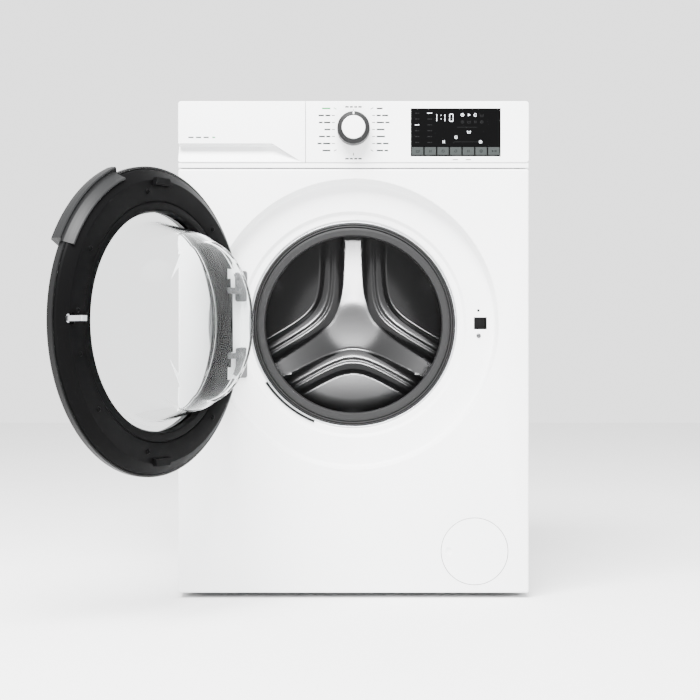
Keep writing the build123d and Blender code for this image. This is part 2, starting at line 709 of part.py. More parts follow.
def tub_rear():
    """The back half of the tub: wall, ribbed back, bearing hub, lugs and the fill spout."""
    spout_foot = PORT_Z + sqrt(TUB_R**2 - SPOUT_X**2)
    damper_foot = PORT_Z - sqrt(TUB_R**2 - DAMPER_X**2)
    with BuildPart() as half:
        rod(0, PORT_Z, TUB_R, TUB_SPLIT + 0.2, TUB_BACK + 5)
        rod(0, PORT_Z, TUB_FLANGE_R, TUB_SPLIT + 0.2, TUB_SPLIT + 8)
        rod(0, PORT_Z, HUB_R, TUB_BACK, HUB_END)
        with BuildSketch(upright(TUB_BACK + 22)):
            with PolarLocations(0, 12):
                with Locations((130, 0)):
                    Rectangle(220, 4)
        extrude(amount=20)
        for side in (-1, 1):
            inner = side * SPRING_X * 0.75
            outer = side * (SPRING_X + 6)
            slab(
                min(inner, outer), max(inner, outer), -14, 14,
                SPRING_LOW - 14, SPRING_LOW - GAP,
            )
        for x in (-DAMPER_X, DAMPER_X):
            slab(x - 12, x + 12, -14, 14, damper_foot - 20, damper_foot + 12)
        post(SPOUT_X, SPOUT_Y, SPOUT_R, spout_foot - 20, spout_foot + 26)
        slab(MOTOR_X - 30, MOTOR_X + 30, MOTOR_FRONT + 20, MOTOR_FRONT + 60, MOTOR_Z + 52, MOTOR_Z + 75)
        post(SPOUT_X, SPOUT_Y, SPOUT_R - 2.5, spout_foot - 30, spout_foot + 27, mode=Mode.SUBTRACT)
        rod(0, PORT_Z, TUB_R - TUB_WALL, TUB_SPLIT, TUB_BACK, mode=Mode.SUBTRACT)
        rod(0, PORT_Z, BEARING_R, TUB_BACK + 7, HUB_END + 1, mode=Mode.SUBTRACT)
        rod(0, PORT_Z, SHAFT_R + 3, TUB_BACK - 1, HUB_END, mode=Mode.SUBTRACT)
    save(half, "tub_rear")


def weight_arc(y_low, y_high, start, stop):
    """A sector of a ring around the drum's axis, between two angles in degrees."""
    with BuildSketch(upright(y_high)) as sector:
        Circle(257)
        Circle(196, mode=Mode.SUBTRACT)
        with BuildLine():
            middle = (start + stop) / 2
            spread = 420.0
            Polyline(
                (0, 0),
                (spread * cos(radians(start)), spread * sin(radians(start))),
                (2 * spread * cos(radians(middle)), 2 * spread * sin(radians(middle))),
                (spread * cos(radians(stop)), spread * sin(radians(stop))),
                close=True,
            )
        make_face(mode=Mode.INTERSECT)
    extrude(sector.sketch, amount=y_high - y_low)


def counterweights():
    """Cast weights: two crescents on the tub's front and a block over the tub."""
    with BuildPart() as weights:
        weight_arc(TUB_FRONT - 24, TUB_FRONT - 0.2, 35, 145)
        weight_arc(TUB_FRONT - 24, TUB_FRONT - 0.2, 215, 325)
        slab(-60, 190, -60, 90, PORT_Z + 200, PORT_Z + 330)
        rod(0, PORT_Z, TUB_R + 0.3, -61, 91, mode=Mode.SUBTRACT)
    save(weights, "counterweights")


def heater():
    """The heating element: a hairpin of tube under the drum, on a plate in the tub's back."""
    level = PORT_Z - 250.5
    tip = -120.0
    bend = 18.0
    with BuildPart() as element:
        with BuildLine() as path:
            first = Line((-bend, TUB_BACK - 1, level), (-bend, tip, level))
            turn = ThreePointArc(first @ 1, (0, tip - bend, level), (bend, tip, level))
            Line(turn @ 1, (bend, TUB_BACK - 1, level))
        with BuildSketch(Plane(origin=first @ 0, z_dir=(0, -1, 0))):
            Circle(3.5)
        sweep()
        slab(-28, 28, TUB_BACK - 3, TUB_BACK - 0.2, level - 8, level + 12)
    save(element, "heater")


def bearings():
    """The two ball bearings in the tub's hub."""
    with BuildPart() as pair:
        for low in (TUB_BACK + 8, HUB_END - 18):
            rod(0, PORT_Z, BEARING_R - 0.02, low, low + 16)
            rod(0, PORT_Z, SHAFT_R + RUNNING, low - 1, low + 17, mode=Mode.SUBTRACT)
    save(pair, "bearings")


def drum_shell():
    """The drum's rolled wall."""
    with BuildPart() as shell:
        rod(0, PORT_Z, DRUM_R, DRUM_FRONT + 2, DRUM_BACK - 0.2)
        rod(0, PORT_Z, DRUM_R - DRUM_SHEET, DRUM_FRONT, DRUM_BACK, mode=Mode.SUBTRACT)
    save(shell, "drum_shell")


def drum_front_ring():
    """The drum's front: a shallow cone with a rolled mouth."""
    with BuildPart() as ring:
        with BuildSketch(RADIAL):
            with BuildLine():
                FilletPolyline(
                    (DRUM_R - DRUM_SHEET - 0.2, DRUM_FRONT + 16),
                    (DRUM_R - DRUM_SHEET - 0.2, DRUM_FRONT + 4),
                    (DRUM_MOUTH_R, DRUM_FRONT + 8),
                    (DRUM_MOUTH_R, DRUM_FRONT + 18),
                    radius=3,
                )
                offset(amount=DRUM_SHEET, side=Side.RIGHT)
            make_face()
        revolve(axis=DRUM_AXIS)
    save(ring, "drum_front_ring")


def drum_back():
    """The drum's back plate, with a raised three-armed centre."""
    with BuildPart() as plate:
        rod(0, PORT_Z, DRUM_R - DRUM_SHEET - 0.2, DRUM_BACK - 1.5, DRUM_BACK)
        with BuildSketch(upright(DRUM_BACK - 1.5)):
            Circle(42)
            with PolarLocations(0, 3, start_angle=90):
                with Locations((105, 0)):
                    Rectangle(210, 40)
        extrude(amount=8)
    save(plate, "drum_back")


def drum_lifters():
    """Three hollow paddles along the drum's wall."""
    foot = DRUM_R - DRUM_SHEET - 1.5
    with BuildPart() as lifters:
        with BuildSketch(mode=Mode.PRIVATE) as paddle:
            with BuildLine():
                Polyline(
                    (foot - 2, -30), (foot - 40, -14), (foot - 46, -8),
                    (foot - 46, 8), (foot - 40, 14), (foot - 2, 30), close=True,
                )
            make_face()
        with BuildSketch(upright(DRUM_BACK - 12)):
            with PolarLocations(0, 3, start_angle=30):
                add(paddle.sketch)
        extrude(amount=DRUM_BACK - 12 - DRUM_FRONT - 30)
    save(lifters, "drum_lifters")


def drum_spider():
    """The cast three-armed carrier behind the drum, with the drum's shaft."""
    front = DRUM_BACK + 0.3
    with BuildPart() as spider:
        with BuildSketch(upright(front + 20)):
            Circle(48)
            with PolarLocations(0, 3, start_angle=90):
                with Locations((118, 0)):
                    Rectangle(230, 34)
        extrude(amount=20)
        rod(0, PORT_Z, SHAFT_R, front, PULLEY_FRONT + PULLEY_W + 4)
    save(spider, "drum_spider")


def drum_pulley():
    """The large driven pulley, with six spokes."""
    back = PULLEY_FRONT + PULLEY_W
    with BuildPart() as pulley:
        rod(0, PORT_Z, PULLEY_R, PULLEY_FRONT, back)
        rod(0, PORT_Z, PULLEY_R - 14, PULLEY_FRONT - 1, back + 1, mode=Mode.SUBTRACT)
        rod(0, PORT_Z, 32, PULLEY_FRONT, back)
        with BuildSketch(upright(back - 3)):
            with PolarLocations(0, 6):
                with Locations((80, 0)):
                    Rectangle(104, 16)
        extrude(amount=7)
        rod(0, PORT_Z, SHAFT_R + 0.05, PULLEY_FRONT - 1, back + 1, mode=Mode.SUBTRACT)
    save(pulley, "drum_pulley")


def belt_outline(grow):
    """The taut line round both pulleys, grown outwards."""
    with BuildSketch(mode=Mode.PRIVATE) as outline:
        Circle(PULLEY_R + 0.3 + grow)
        with Locations((MOTOR_X, MOTOR_Z - PORT_Z)):
            Circle(MOTOR_PULLEY_R + 0.3 + grow)
        make_hull()
    return outline.sketch


def drive_belt():
    """The ribbed belt round the two pulleys."""
    middle = PULLEY_FRONT + PULLEY_W / 2
    with BuildPart() as belt:
        with BuildSketch(upright(middle + BELT_W / 2)):
            add(belt_outline(BELT_T))
            add(belt_outline(0), mode=Mode.SUBTRACT)
        extrude(amount=BELT_W)
    save(belt, "drive_belt")


def motor_body():
    """The motor under the tub, with its mounting block."""
    with BuildPart() as motor:
        rod(MOTOR_X, MOTOR_Z, MOTOR_R, MOTOR_FRONT, MOTOR_BACK)
        fillet(motor.edges().filter_by(GeomType.CIRCLE), 4)
        slab(
            MOTOR_X - 28, MOTOR_X + 28, MOTOR_FRONT + 22, MOTOR_FRONT + 58,
            MOTOR_Z + 40, MOTOR_Z + 51.8,
        )
        rod(MOTOR_X, MOTOR_Z, MOTOR_SHAFT_R + RUNNING, MOTOR_BACK - 30, MOTOR_BACK + 1, mode=Mode.SUBTRACT)
    save(motor, "motor_body")


def motor_pulley():
    """The motor's shaft and small pulley."""
    back = PULLEY_FRONT + PULLEY_W
    with BuildPart() as pulley:
        rod(MOTOR_X, MOTOR_Z, MOTOR_SHAFT_R, MOTOR_BACK - 28, back)
        rod(MOTOR_X, MOTOR_Z, MOTOR_PULLEY_R, PULLEY_FRONT, back)
    save(pulley, "motor_pulley")


def hinge_relief():
    """Cut the room for the hinge lugs out of a door ring, and the sliver past the hinge line."""
    slab(
        HINGE_X - 40, HINGE_X - 14, FRONT - 60, FRONT + 60, PORT_Z - 150, PORT_Z + 150,
        mode=Mode.SUBTRACT,
    )
    slab(
        HINGE_X - 20, HINGE_X + 34, HINGE_Y - 10, FRONT + 60, PORT_Z - 96, PORT_Z + 96,
        mode=Mode.SUBTRACT,
    )


def handle_sector(r_low, r_high, y_low, y_high, margin, mode):
    """A block of ring between the handle's two ends."""
    with BuildSketch(upright(y_high)) as sector:
        Circle(r_high)
        Circle(r_low, mode=Mode.SUBTRACT)
        with BuildLine():
            first = radians(HANDLE_FROM - margin)
            last = radians(HANDLE_TO + margin)
            Polyline(
                (0, 0),
                (400 * cos(first), 400 * sin(first)),
                (400 * cos(last), 400 * sin(last)),
                close=True,
            )
        make_face(mode=Mode.INTERSECT)
    extrude(sector.sketch, amount=y_high - y_low, mode=mode)


def door_cover():
    """The door's outer ring: a thin moulding, domed towards the window."""
    with BuildPart() as cover:
        with BuildSketch(RADIAL):
            with BuildLine():
                FilletPolyline(
                    (DOOR_R, FRONT - 1.5),
                    (DOOR_R, FRONT - 11),
                    (DOOR_R - 12, FRONT - 20),
                    (DOOR_R - 42, FRONT - 25),
                    (DOOR_HOLE_R + 14, FRONT - 25),
                    (DOOR_HOLE_R + 4, FRONT - 16),
                    (DOOR_HOLE_R + 2, FRONT - 4),
                    radius=[4, 5, 5, 4, 4],
                )
                offset(amount=DOOR_WALL, side=Side.RIGHT)
            make_face()
        revolve(axis=DRUM_AXIS)
        hinge_relief()
        handle_sector(HANDLE_IN_R - 0.5, DOOR_R + 5, FRONT - 60, FRONT, 0.3, Mode.SUBTRACT)
    save_door(cover, "door_cover")


def door_liner():
    """The door's inner ring: a chamfered outer band, a flat face with a groove, and a rim."""
    face = FRONT + 14
    with BuildPart() as liner:
        with BuildSketch(RADIAL):
            with BuildLine():
                FilletPolyline(
                    (DOOR_R - 4, FRONT - 1),
                    (DOOR_R - 6, FRONT + 2),
                    (DOOR_R - 22, face),
                    (DOOR_HOLE_R + 19, face),
                    (DOOR_HOLE_R + 17, face - 2),
                    (DOOR_HOLE_R + 15, face),
                    (DOOR_HOLE_R + 4, face),
                    (DOOR_HOLE_R + 0.4, face - 8),
                    radius=[2, 3, 0.5, 0.5, 0.5, 2],
                )
                offset(amount=DOOR_WALL, side=Side.LEFT)
            make_face()
        revolve(axis=DRUM_AXIS)
        hinge_relief()
        rod(LOCK_X, LOCK_Z, 9, FRONT - 10, FRONT + 40, mode=Mode.SUBTRACT)
    save_door(liner, "door_liner")


def door_glass():
    """The glass bowl, with a flange that the two rings hold."""
    with BuildPart() as bowl:
        with BuildSketch(RADIAL):
            with BuildLine():
                FilletPolyline(
                    (DOOR_HOLE_R + 13, FRONT + 1.2),
                    (BOWL_R, FRONT + 1.2),
                    (BOWL_SHOULDER_R, FRONT + BOWL_DEPTH - 32),
                    (BOWL_END_R, FRONT + BOWL_DEPTH),
                    (0, FRONT + BOWL_DEPTH),
                    radius=[6, 14, 12],
                )
                offset(amount=GLASS, side=Side.LEFT)
            make_face()
        revolve(axis=DRUM_AXIS)
        hinge_relief()
    save_door(bowl, "door_glass")


def door_handle():
    """The cup grip let into the upper free edge of the door, open to the back."""
    with BuildPart() as handle:
        handle_sector(HANDLE_IN_R, HANDLE_OUT_R, FRONT - 23, FRONT - 3.2, 0, Mode.ADD)
        handle_sector(HANDLE_IN_R + 3, HANDLE_OUT_R - 4, FRONT - 18, FRONT, -1.2, Mode.SUBTRACT)
        fillet(handle.edges().filter_by(Axis.Y).group_by(Axis.Z)[-1], 2)
    save_door(handle, "door_handle")


def door_hinge_arms():
    """The hinge pin and the plate that carries the door on it."""
    pin_low = PORT_Z + HINGE_LOW - 20
    pin_high = PORT_Z + HINGE_HIGH + 20
    arm_low = PORT_Z + HINGE_LOW + LUG_H / 2 + 1
    arm_high = PORT_Z + HINGE_HIGH - LUG_H / 2 - 1
    with BuildPart() as arms:
        post(HINGE_X, HINGE_Y, HINGE_PIN_R, pin_low, pin_high)
        post(HINGE_X, HINGE_Y, 7, arm_low, arm_high)
        slab(HINGE_X, HINGE_X + 33.5, HINGE_Y - 5, HINGE_Y + 1, arm_low, arm_high)
        slab(HINGE_X + 30.5, HINGE_X + 33.5, HINGE_Y - 5, FRONT + 9, PORT_Z - 80, PORT_Z + 80)
    save_door(arms, "door_hinge_arms")


def door_hook():
    """The sprung latch hook on the door's free side."""
    tip = FRONT + DISH_DEPTH + 18
    with BuildPart() as hook:
        slab(LOCK_X - 4, LOCK_X + 4, HOOK_PIVOT_Y - 3, tip, LOCK_Z - 4, LOCK_Z + 4)
        slab(LOCK_X - 4, LOCK_X + 8, tip - 4, tip, LOCK_Z - 4, LOCK_Z + 4)
        fillet(hook.edges().filter_by(Axis.Z), 1)
        post(LOCK_X, HOOK_PIVOT_Y, HOOK_BOSS_R, LOCK_Z - HOOK_BOSS_H / 2, LOCK_Z + HOOK_BOSS_H / 2)
    save_door(hook, "door_hook")


def foot(node, x, y):
    """One levelling foot: a pad on a threaded stem."""
    with BuildPart() as pad:
        post(x, y, FOOT_R, 0, FOOT_H)
        fillet(pad.edges().filter_by(GeomType.CIRCLE).group_by(Axis.Z)[-1], 2)
        post(x, y, FOOT_STEM_R, FOOT_H - 1, FOOT_STEM_TOP)
    save(pad, node)


def main():
    """Make every sub-part and write its file."""
    side_panel("side_panel_left", -1)
    side_panel("side_panel_right", 1)
    rear_panel()
    top_cover()
    front_panel()
    base_pan()
    front_beam()
    control_fascia()
    display_window()
    keys()
    program_knob()
    drawer_front()
    drawer_tray()
    dispenser_housing()
    inlet_valve()
    hose_tube("dispenser_hose", SPOUT_X, SPOUT_Y, SPOUT_R, PORT_Z + 236, HOUSING_BOTTOM - 1)
    mains_inlet()
    pump_body()
    hose_tube("sump_hose", SUMP_X, SUMP_Y, SUMP_R, PUMP_Z + 48, PUMP_Z + 184)
    pump_impeller()
    pump_filter()
    service_flap()
    drain_outlet()
    hinge_bracket()
    door_lock()
    door_gasket()
    gasket_clamp()
    damper_parts()
    tub_springs()
    tub_front()
    tub_rear()
    counterweights()
    heater()
    bearings()
    drum_shell()
    drum_front_ring()
    drum_back()
    drum_lifters()
    drum_spider()
    drum_pulley()
    drive_belt()
    motor_body()
    motor_pulley()
    door_cover()
    door_liner()
    door_glass()
    door_handle()
    door_hinge_arms()
    door_hook()
    foot("foot_front_left", -FOOT_X, FOOT_FRONT_Y)
    foot("foot_front_right", FOOT_X, FOOT_FRONT_Y)
    foot("foot_back_left", -FOOT_X, FOOT_BACK_Y)
    foot("foot_back_right", FOOT_X, FOOT_BACK_Y)


main()
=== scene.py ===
"""Looks of a front loading washing machine, round door held open, in the frame of its CAD bodies.

Everything is in metres: +X to the right of somebody facing the machine, +Y to its back, +Z up.
"""

import json
import logging
import math
from dataclasses import dataclass, field
from enum import Enum
from typing import Sequence

import bmesh
import bpy
import numpy as np
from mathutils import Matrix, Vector

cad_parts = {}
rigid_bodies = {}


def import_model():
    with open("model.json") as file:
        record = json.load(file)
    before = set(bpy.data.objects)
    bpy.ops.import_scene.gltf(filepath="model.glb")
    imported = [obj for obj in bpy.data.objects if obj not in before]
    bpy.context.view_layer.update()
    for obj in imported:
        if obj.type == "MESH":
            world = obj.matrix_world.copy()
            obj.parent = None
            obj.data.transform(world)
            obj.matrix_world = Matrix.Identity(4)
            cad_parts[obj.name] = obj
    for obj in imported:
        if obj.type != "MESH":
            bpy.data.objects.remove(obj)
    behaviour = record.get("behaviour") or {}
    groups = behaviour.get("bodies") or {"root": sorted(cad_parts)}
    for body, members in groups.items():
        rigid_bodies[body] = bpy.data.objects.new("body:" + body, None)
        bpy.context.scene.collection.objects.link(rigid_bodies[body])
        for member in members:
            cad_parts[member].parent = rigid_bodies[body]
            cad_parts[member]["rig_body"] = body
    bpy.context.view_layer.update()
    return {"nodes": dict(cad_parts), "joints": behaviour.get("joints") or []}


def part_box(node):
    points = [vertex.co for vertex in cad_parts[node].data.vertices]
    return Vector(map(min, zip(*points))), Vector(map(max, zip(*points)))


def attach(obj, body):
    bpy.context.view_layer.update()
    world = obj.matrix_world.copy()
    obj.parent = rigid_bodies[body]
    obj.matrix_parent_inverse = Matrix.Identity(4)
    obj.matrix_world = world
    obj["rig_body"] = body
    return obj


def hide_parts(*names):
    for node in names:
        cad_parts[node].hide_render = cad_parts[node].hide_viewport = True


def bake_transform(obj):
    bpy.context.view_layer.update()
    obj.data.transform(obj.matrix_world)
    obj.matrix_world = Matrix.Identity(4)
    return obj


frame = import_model()

Array = np.ndarray
Point = tuple[float, float, float]
MM = 0.001
LOG = logging.getLogger("washing_machine")
SMOOTH_ANGLE = math.radians(32)
WELD = 2e-5


# ---------------------------------------------------------------- places taken from the frame

PANEL_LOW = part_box("front_panel")[0]
WINDOW_LOW, WINDOW_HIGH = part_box("display_window")
DRAWER_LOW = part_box("drawer_front")[0]
TUB_LOW, TUB_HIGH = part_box("tub_front")
KNOB_LOW, KNOB_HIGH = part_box("program_knob")
LOCK_LOW, LOCK_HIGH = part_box("door_lock")
FRONT = PANEL_LOW.y
PORT_Z = (TUB_LOW.z + TUB_HIGH.z) / 2
KNOB_Z = (KNOB_LOW.z + KNOB_HIGH.z) / 2
HINGE = next(j for j in frame["joints"] if j["name"] == "door_hinge")
HINGE_X, HINGE_Y = HINGE["pos_m"][:2]
DOOR_OPEN = math.radians(HINGE["range_deg"][1])


# ---------------------------------------------------------------- finishes


class Coordinates(Enum):
    """Where a finish reads its pattern from."""

    OBJECT = "Object"
    UV = "UV"


@dataclass(frozen=True)
class Finish:
    """One procedural surface: a base colour with a slow tone, a fine grain and a small relief.

    Attributes:
        name: the material's name.
        slot: the record's material slot that it stands for; not used.
        colour: linear base colour.
        roughness: mean roughness.
        metallic: 0 for plastics and paint, 1 for bare metal.
        coat: weight of a clear coat.
        grain: cells of the fine noise in one metre.
        stretch: scale of the pattern along X, Y and Z, for brushed or drawn metal.
        relief: strength of the bump, 0 to 1.
        depth: height of the bump in metres.
        tone: share by which the slow noise darkens the colour.
        tone_cells: cells of the slow noise in one metre.
        spread: how far the roughness wanders.
        transmission: 1 for clear glass.
        ior: index of refraction.
        specular: level of the plain shine, 0.5 for ordinary plastic.
        glow: strength of emitted light, 0 for none.
    """

    name: str
    slot: str
    colour: Point
    roughness: float
    metallic: float = 0.0
    coat: float = 0.0
    grain: float = 900.0
    stretch: Point = (1.0, 1.0, 1.0)
    relief: float = 0.05
    depth: float = 0.0002
    tone: float = 0.03
    tone_cells: float = 5.0
    spread: float = 0.05
    transmission: float = 0.0
    ior: float = 1.5
    specular: float = 0.5
    glow: float = 0.0

    def material(self) -> bpy.types.Material:
        """Return the material, made on first use."""
        return bpy.data.materials.get(f"{self.name}_finish") or self._make()

    def _make(self) -> bpy.types.Material:
        """Build the node tree: two noises drive colour, roughness and bump of one shader."""
        made = bpy.data.materials.new(f"{self.name}_finish")
        made.use_nodes = True
        tree = made.node_tree
        shader = tree.nodes["Principled BSDF"]
        shader.inputs["Metallic"].default_value = self.metallic
        shader.inputs["IOR"].default_value = self.ior
        shader.inputs["Specular IOR Level"].default_value = self.specular
        shader.inputs["Coat Weight"].default_value = self.coat
        shader.inputs["Coat Roughness"].default_value = 0.06
        shader.inputs["Transmission Weight"].default_value = self.transmission
        if self.glow:
            shader.inputs["Emission Color"].default_value = (*self.colour, 1.0)
            shader.inputs["Emission Strength"].default_value = self.glow
        coordinates = tree.nodes.new("ShaderNodeTexCoord")
        mapping = tree.nodes.new("ShaderNodeMapping")
        mapping.inputs["Scale"].default_value = self.stretch
        tree.links.new(coordinates.outputs[Coordinates.OBJECT.value], mapping.inputs["Vector"])
        slow = self._noise(tree, mapping, self.tone_cells, 3.0)
        fine = self._noise(tree, mapping, self.grain, 2.0)
        self._colour(tree, shader, slow)
        self._roughness(tree, shader, slow)
        bump = tree.nodes.new("ShaderNodeBump")
        bump.inputs["Strength"].default_value = self.relief
        bump.inputs["Distance"].default_value = self.depth
        tree.links.new(fine.outputs["Fac"], bump.inputs["Height"])
        tree.links.new(bump.outputs["Normal"], shader.inputs["Normal"])
        self.extend(tree, shader, coordinates, bump)
        return made

    def extend(
        self,
        tree: bpy.types.NodeTree,
        shader: bpy.types.Node,
        coordinates: bpy.types.Node,
        bump: bpy.types.Node,
    ) -> None:
        """Add what a special finish needs; a plain one needs nothing."""

    @staticmethod
    def _noise(
        tree: bpy.types.NodeTree, mapping: bpy.types.Node, cells: float, detail: float
    ) -> bpy.types.Node:
        """Return a noise of so many cells in one metre."""
        noise = tree.nodes.new("ShaderNodeTexNoise")
        noise.inputs["Scale"].default_value = cells
        noise.inputs["Detail"].default_value = detail
        tree.links.new(mapping.outputs["Vector"], noise.inputs["Vector"])
        return noise

    def _colour(
        self, tree: bpy.types.NodeTree, shader: bpy.types.Node, slow: bpy.types.Node
    ) -> None:
        """Let the slow noise darken the base colour by the tone."""
        mix = tree.nodes.new("ShaderNodeMix")
        mix.data_type = "RGBA"
        mix.inputs["A"].default_value = (*self.colour, 1.0)
        darker = tuple(c * (1 - self.tone) for c in self.colour)
        mix.inputs["B"].default_value = (*darker, 1.0)
        tree.links.new(slow.outputs["Fac"], mix.inputs["Factor"])
        tree.links.new(mix.outputs["Result"], shader.inputs["Base Color"])

    def _roughness(
        self, tree: bpy.types.NodeTree, shader: bpy.types.Node, slow: bpy.types.Node
    ) -> None:
        """Let the slow noise move the roughness about its mean."""
        spread = tree.nodes.new("ShaderNodeMapRange")
        spread.inputs["To Min"].default_value = max(0.0, self.roughness - self.spread)
        spread.inputs["To Max"].default_value = min(1.0, self.roughness + self.spread)
        tree.links.new(slow.outputs["Fac"], spread.inputs["Value"])
        tree.links.new(spread.outputs["Result"], shader.inputs["Roughness"])


@dataclass(frozen=True)
class Perforated(Finish):
    """Sheet steel with a regular grid of round holes, read from the piece's UV map.

    Attributes:
        pitch: distance between holes in the UV map's metres.
        hole: radius of a hole in shares of the pitch.
    """

    pitch: float = 0.014
    hole: float = 0.17

    def extend(
        self,
        tree: bpy.types.NodeTree,
        shader: bpy.types.Node,
        coordinates: bpy.types.Node,
        bump: bpy.types.Node,
    ) -> None:
        """Darken and sink the middle of every cell of an even Voronoi pattern."""
        cells = tree.nodes.new("ShaderNodeTexVoronoi")
        cells.inputs["Scale"].default_value = 1 / self.pitch
        cells.inputs["Randomness"].default_value = 0.0
        tree.links.new(coordinates.outputs[Coordinates.UV.value], cells.inputs["Vector"])
        edge = tree.nodes.new("ShaderNodeMapRange")
        edge.inputs["From Min"].default_value = self.hole * 0.8
        edge.inputs["From Max"].default_value = self.hole
        tree.links.new(cells.outputs["Distance"], edge.inputs["Value"])
        mix = tree.nodes.new("ShaderNodeMix")
        mix.data_type = "RGBA"
        mix.inputs["A"].default_value = (0.01, 0.01, 0.012, 1.0)
        mix.inputs["B"].default_value = (*self.colour, 1.0)
        tree.links.new(edge.outputs["Result"], mix.inputs["Factor"])
        tree.links.new(mix.outputs["Result"], shader.inputs["Base Color"])
        tree.links.new(edge.outputs["Result"], shader.inputs["Metallic"])
        dent = tree.nodes.new("ShaderNodeBump")
        dent.inputs["Strength"].default_value = 0.6
        dent.inputs["Distance"].default_value = 0.0008
        tree.links.new(edge.outputs["Result"], dent.inputs["Height"])
        tree.links.new(bump.outputs["Normal"], dent.inputs["Normal"])
        tree.links.new(dent.outputs["Normal"], shader.inputs["Normal"])


ENAMEL = Finish(
    "white_enamel", "white_panel", (0.86, 0.865, 0.87), 0.42, specular=0.35, relief=0.03,
    grain=350.0,
)
WHITE_PLASTIC = Finish(
    "white_moulding", "white_plastic", (0.88, 0.885, 0.89), 0.4, specular=0.4, grain=1400.0,
)
COVER_DARK = Finish("door_rim_moulding", "white_plastic", (0.0062, 0.0063, 0.0065), 0.4, specular=0.12)
SILVER = Finish(
    "silver_ring", "silver_plastic", (0.016, 0.0162, 0.0165), 0.46, metallic=0.15,
    specular=0.12, grain=1500.0,
)
DISPLAY = Finish(
    "display_pane", "display_black", (0.0012, 0.0012, 0.0013), 0.34, specular=0.025,
    relief=0.0,
)
KEY_GREY = Finish("key_caps", "key_grey", (0.026, 0.0295, 0.029), 0.45, specular=0.06, grain=2500.0)
INK = Finish("printed_ink", "dark_plastic", (0.004, 0.0042, 0.0045), 0.5, specular=0.05)
INK_GREY = Finish("printed_grey", "grey_plastic", (0.014, 0.0145, 0.015), 0.5, specular=0.05)
INK_GREEN = Finish("printed_green", "key_grey", (0.02, 0.2, 0.06), 0.5, specular=0.1)
KEY_INK = Finish("key_ink", "display_black", (0.001, 0.001, 0.001), 0.5, specular=0.02)
LIT = Finish("lit_segments", "display_black", (0.8, 0.85, 0.9), 0.5, glow=0.55)
DIM = Finish("unlit_segments", "display_black", (0.012, 0.012, 0.0125), 0.5, specular=0.02)
BLACK = Finish(
    "black_moulding", "dark_plastic", (0.0016, 0.0016, 0.0017), 0.46, specular=0.025,
    grain=1800.0,
)
DARK = Finish(
    "dark_moulding", "dark_plastic", (0.008, 0.008, 0.0085), 0.45, specular=0.12,
    grain=1800.0, relief=0.1,
)
GREY = Finish("grey_moulding", "grey_plastic", (0.3, 0.305, 0.315), 0.42, grain=1800.0, relief=0.08)
CUP_GREY = Finish(
    "grip_cup", "grey_plastic", (0.009, 0.0092, 0.0095), 0.42, specular=0.12,
    grain=1800.0, relief=0.06,
)
RUBBER = Finish(
    "seal_rubber", "seal_rubber", (0.0135, 0.0135, 0.0138), 0.5, specular=0.15,
    grain=700.0, relief=0.12,
)
HOSE = Finish("hose_rubber", "hose_rubber", (0.02, 0.02, 0.021), 0.6, grain=900.0, relief=0.2)
TUB = Finish("tub_moulding", "tub_plastic", (0.42, 0.43, 0.44), 0.5, grain=600.0, relief=0.12)
BRACKET = Finish("plated_bracket", "bright_steel", (0.09, 0.091, 0.093), 0.42, metallic=0.6, grain=900.0)
ZINC = Finish(
    "zinc_sheet", "bright_steel", (0.2, 0.205, 0.21), 0.42, metallic=0.8, grain=260.0,
    relief=0.08, tone=0.2, tone_cells=30.0,
)
STEEL = Finish("bright_steel", "bright_steel", (0.6, 0.61, 0.63), 0.28, metallic=1.0, grain=1200.0)
DRUM = Finish(
    "drum_steel", "drum_steel", (0.05, 0.05, 0.0508), 0.125, metallic=0.5, specular=0.1,
    grain=500.0, relief=0.015, tone=0.12, tone_cells=9.0, spread=0.012,
)
DRUM_HOLES = Perforated("drum_steel_holes", "drum_steel", (0.05, 0.05, 0.051), 0.24, metallic=1.0)
ALLOY = Finish("cast_alloy", "cast_alloy", (0.5, 0.51, 0.52), 0.5, metallic=0.9, grain=500.0, relief=0.3)
CONCRETE = Finish(
    "cast_concrete", "weight_concrete", (0.33, 0.33, 0.32), 0.85, grain=240.0,
    relief=0.6, depth=0.0008, tone=0.3, tone_cells=40.0,
)
MOTOR = Finish("motor_paint", "motor_steel", (0.05, 0.052, 0.055), 0.5, metallic=0.4, grain=600.0)
SPRING = Finish("spring_steel", "spring_steel", (0.2, 0.2, 0.21), 0.35, metallic=1.0)
GLASS = Finish(
    "door_glass", "clear_glass", (0.97, 0.985, 0.985), 0.0, relief=0.0, spread=0.0,
    tone=0.0, transmission=1.0, ior=1.09,
)


# ---------------------------------------------------------------- mesh making


def finish_mesh(name: str, mesh: bpy.types.Mesh, finish: Finish) -> bpy.types.Object:
    """Weld a mesh, turn its faces outwards, smooth its soft edges and give it a finish.

    Args:
        name: the piece's name.
        mesh: the mesh, in the row frame.
        finish: what it is made of.

    Returns:
        The new object, at the origin.
    """
    net = bmesh.new()
    net.from_mesh(mesh)
    bmesh.ops.remove_doubles(net, verts=net.verts, dist=WELD)
    bmesh.ops.dissolve_degenerate(net, edges=net.edges, dist=1e-6)
    bmesh.ops.recalc_face_normals(net, faces=net.faces)
    for face in net.faces:
        face.smooth = True
    for edge in net.edges:
        edge.smooth = len(edge.link_faces) == 2 and edge.calc_face_angle(0.0) < SMOOTH_ANGLE
    net.to_mesh(mesh)
    net.free()
    piece = bpy.data.objects.new(name, mesh)
    bpy.context.scene.collection.objects.link(piece)
    mesh.materials.clear()
    mesh.materials.append(finish.material())
    return piece


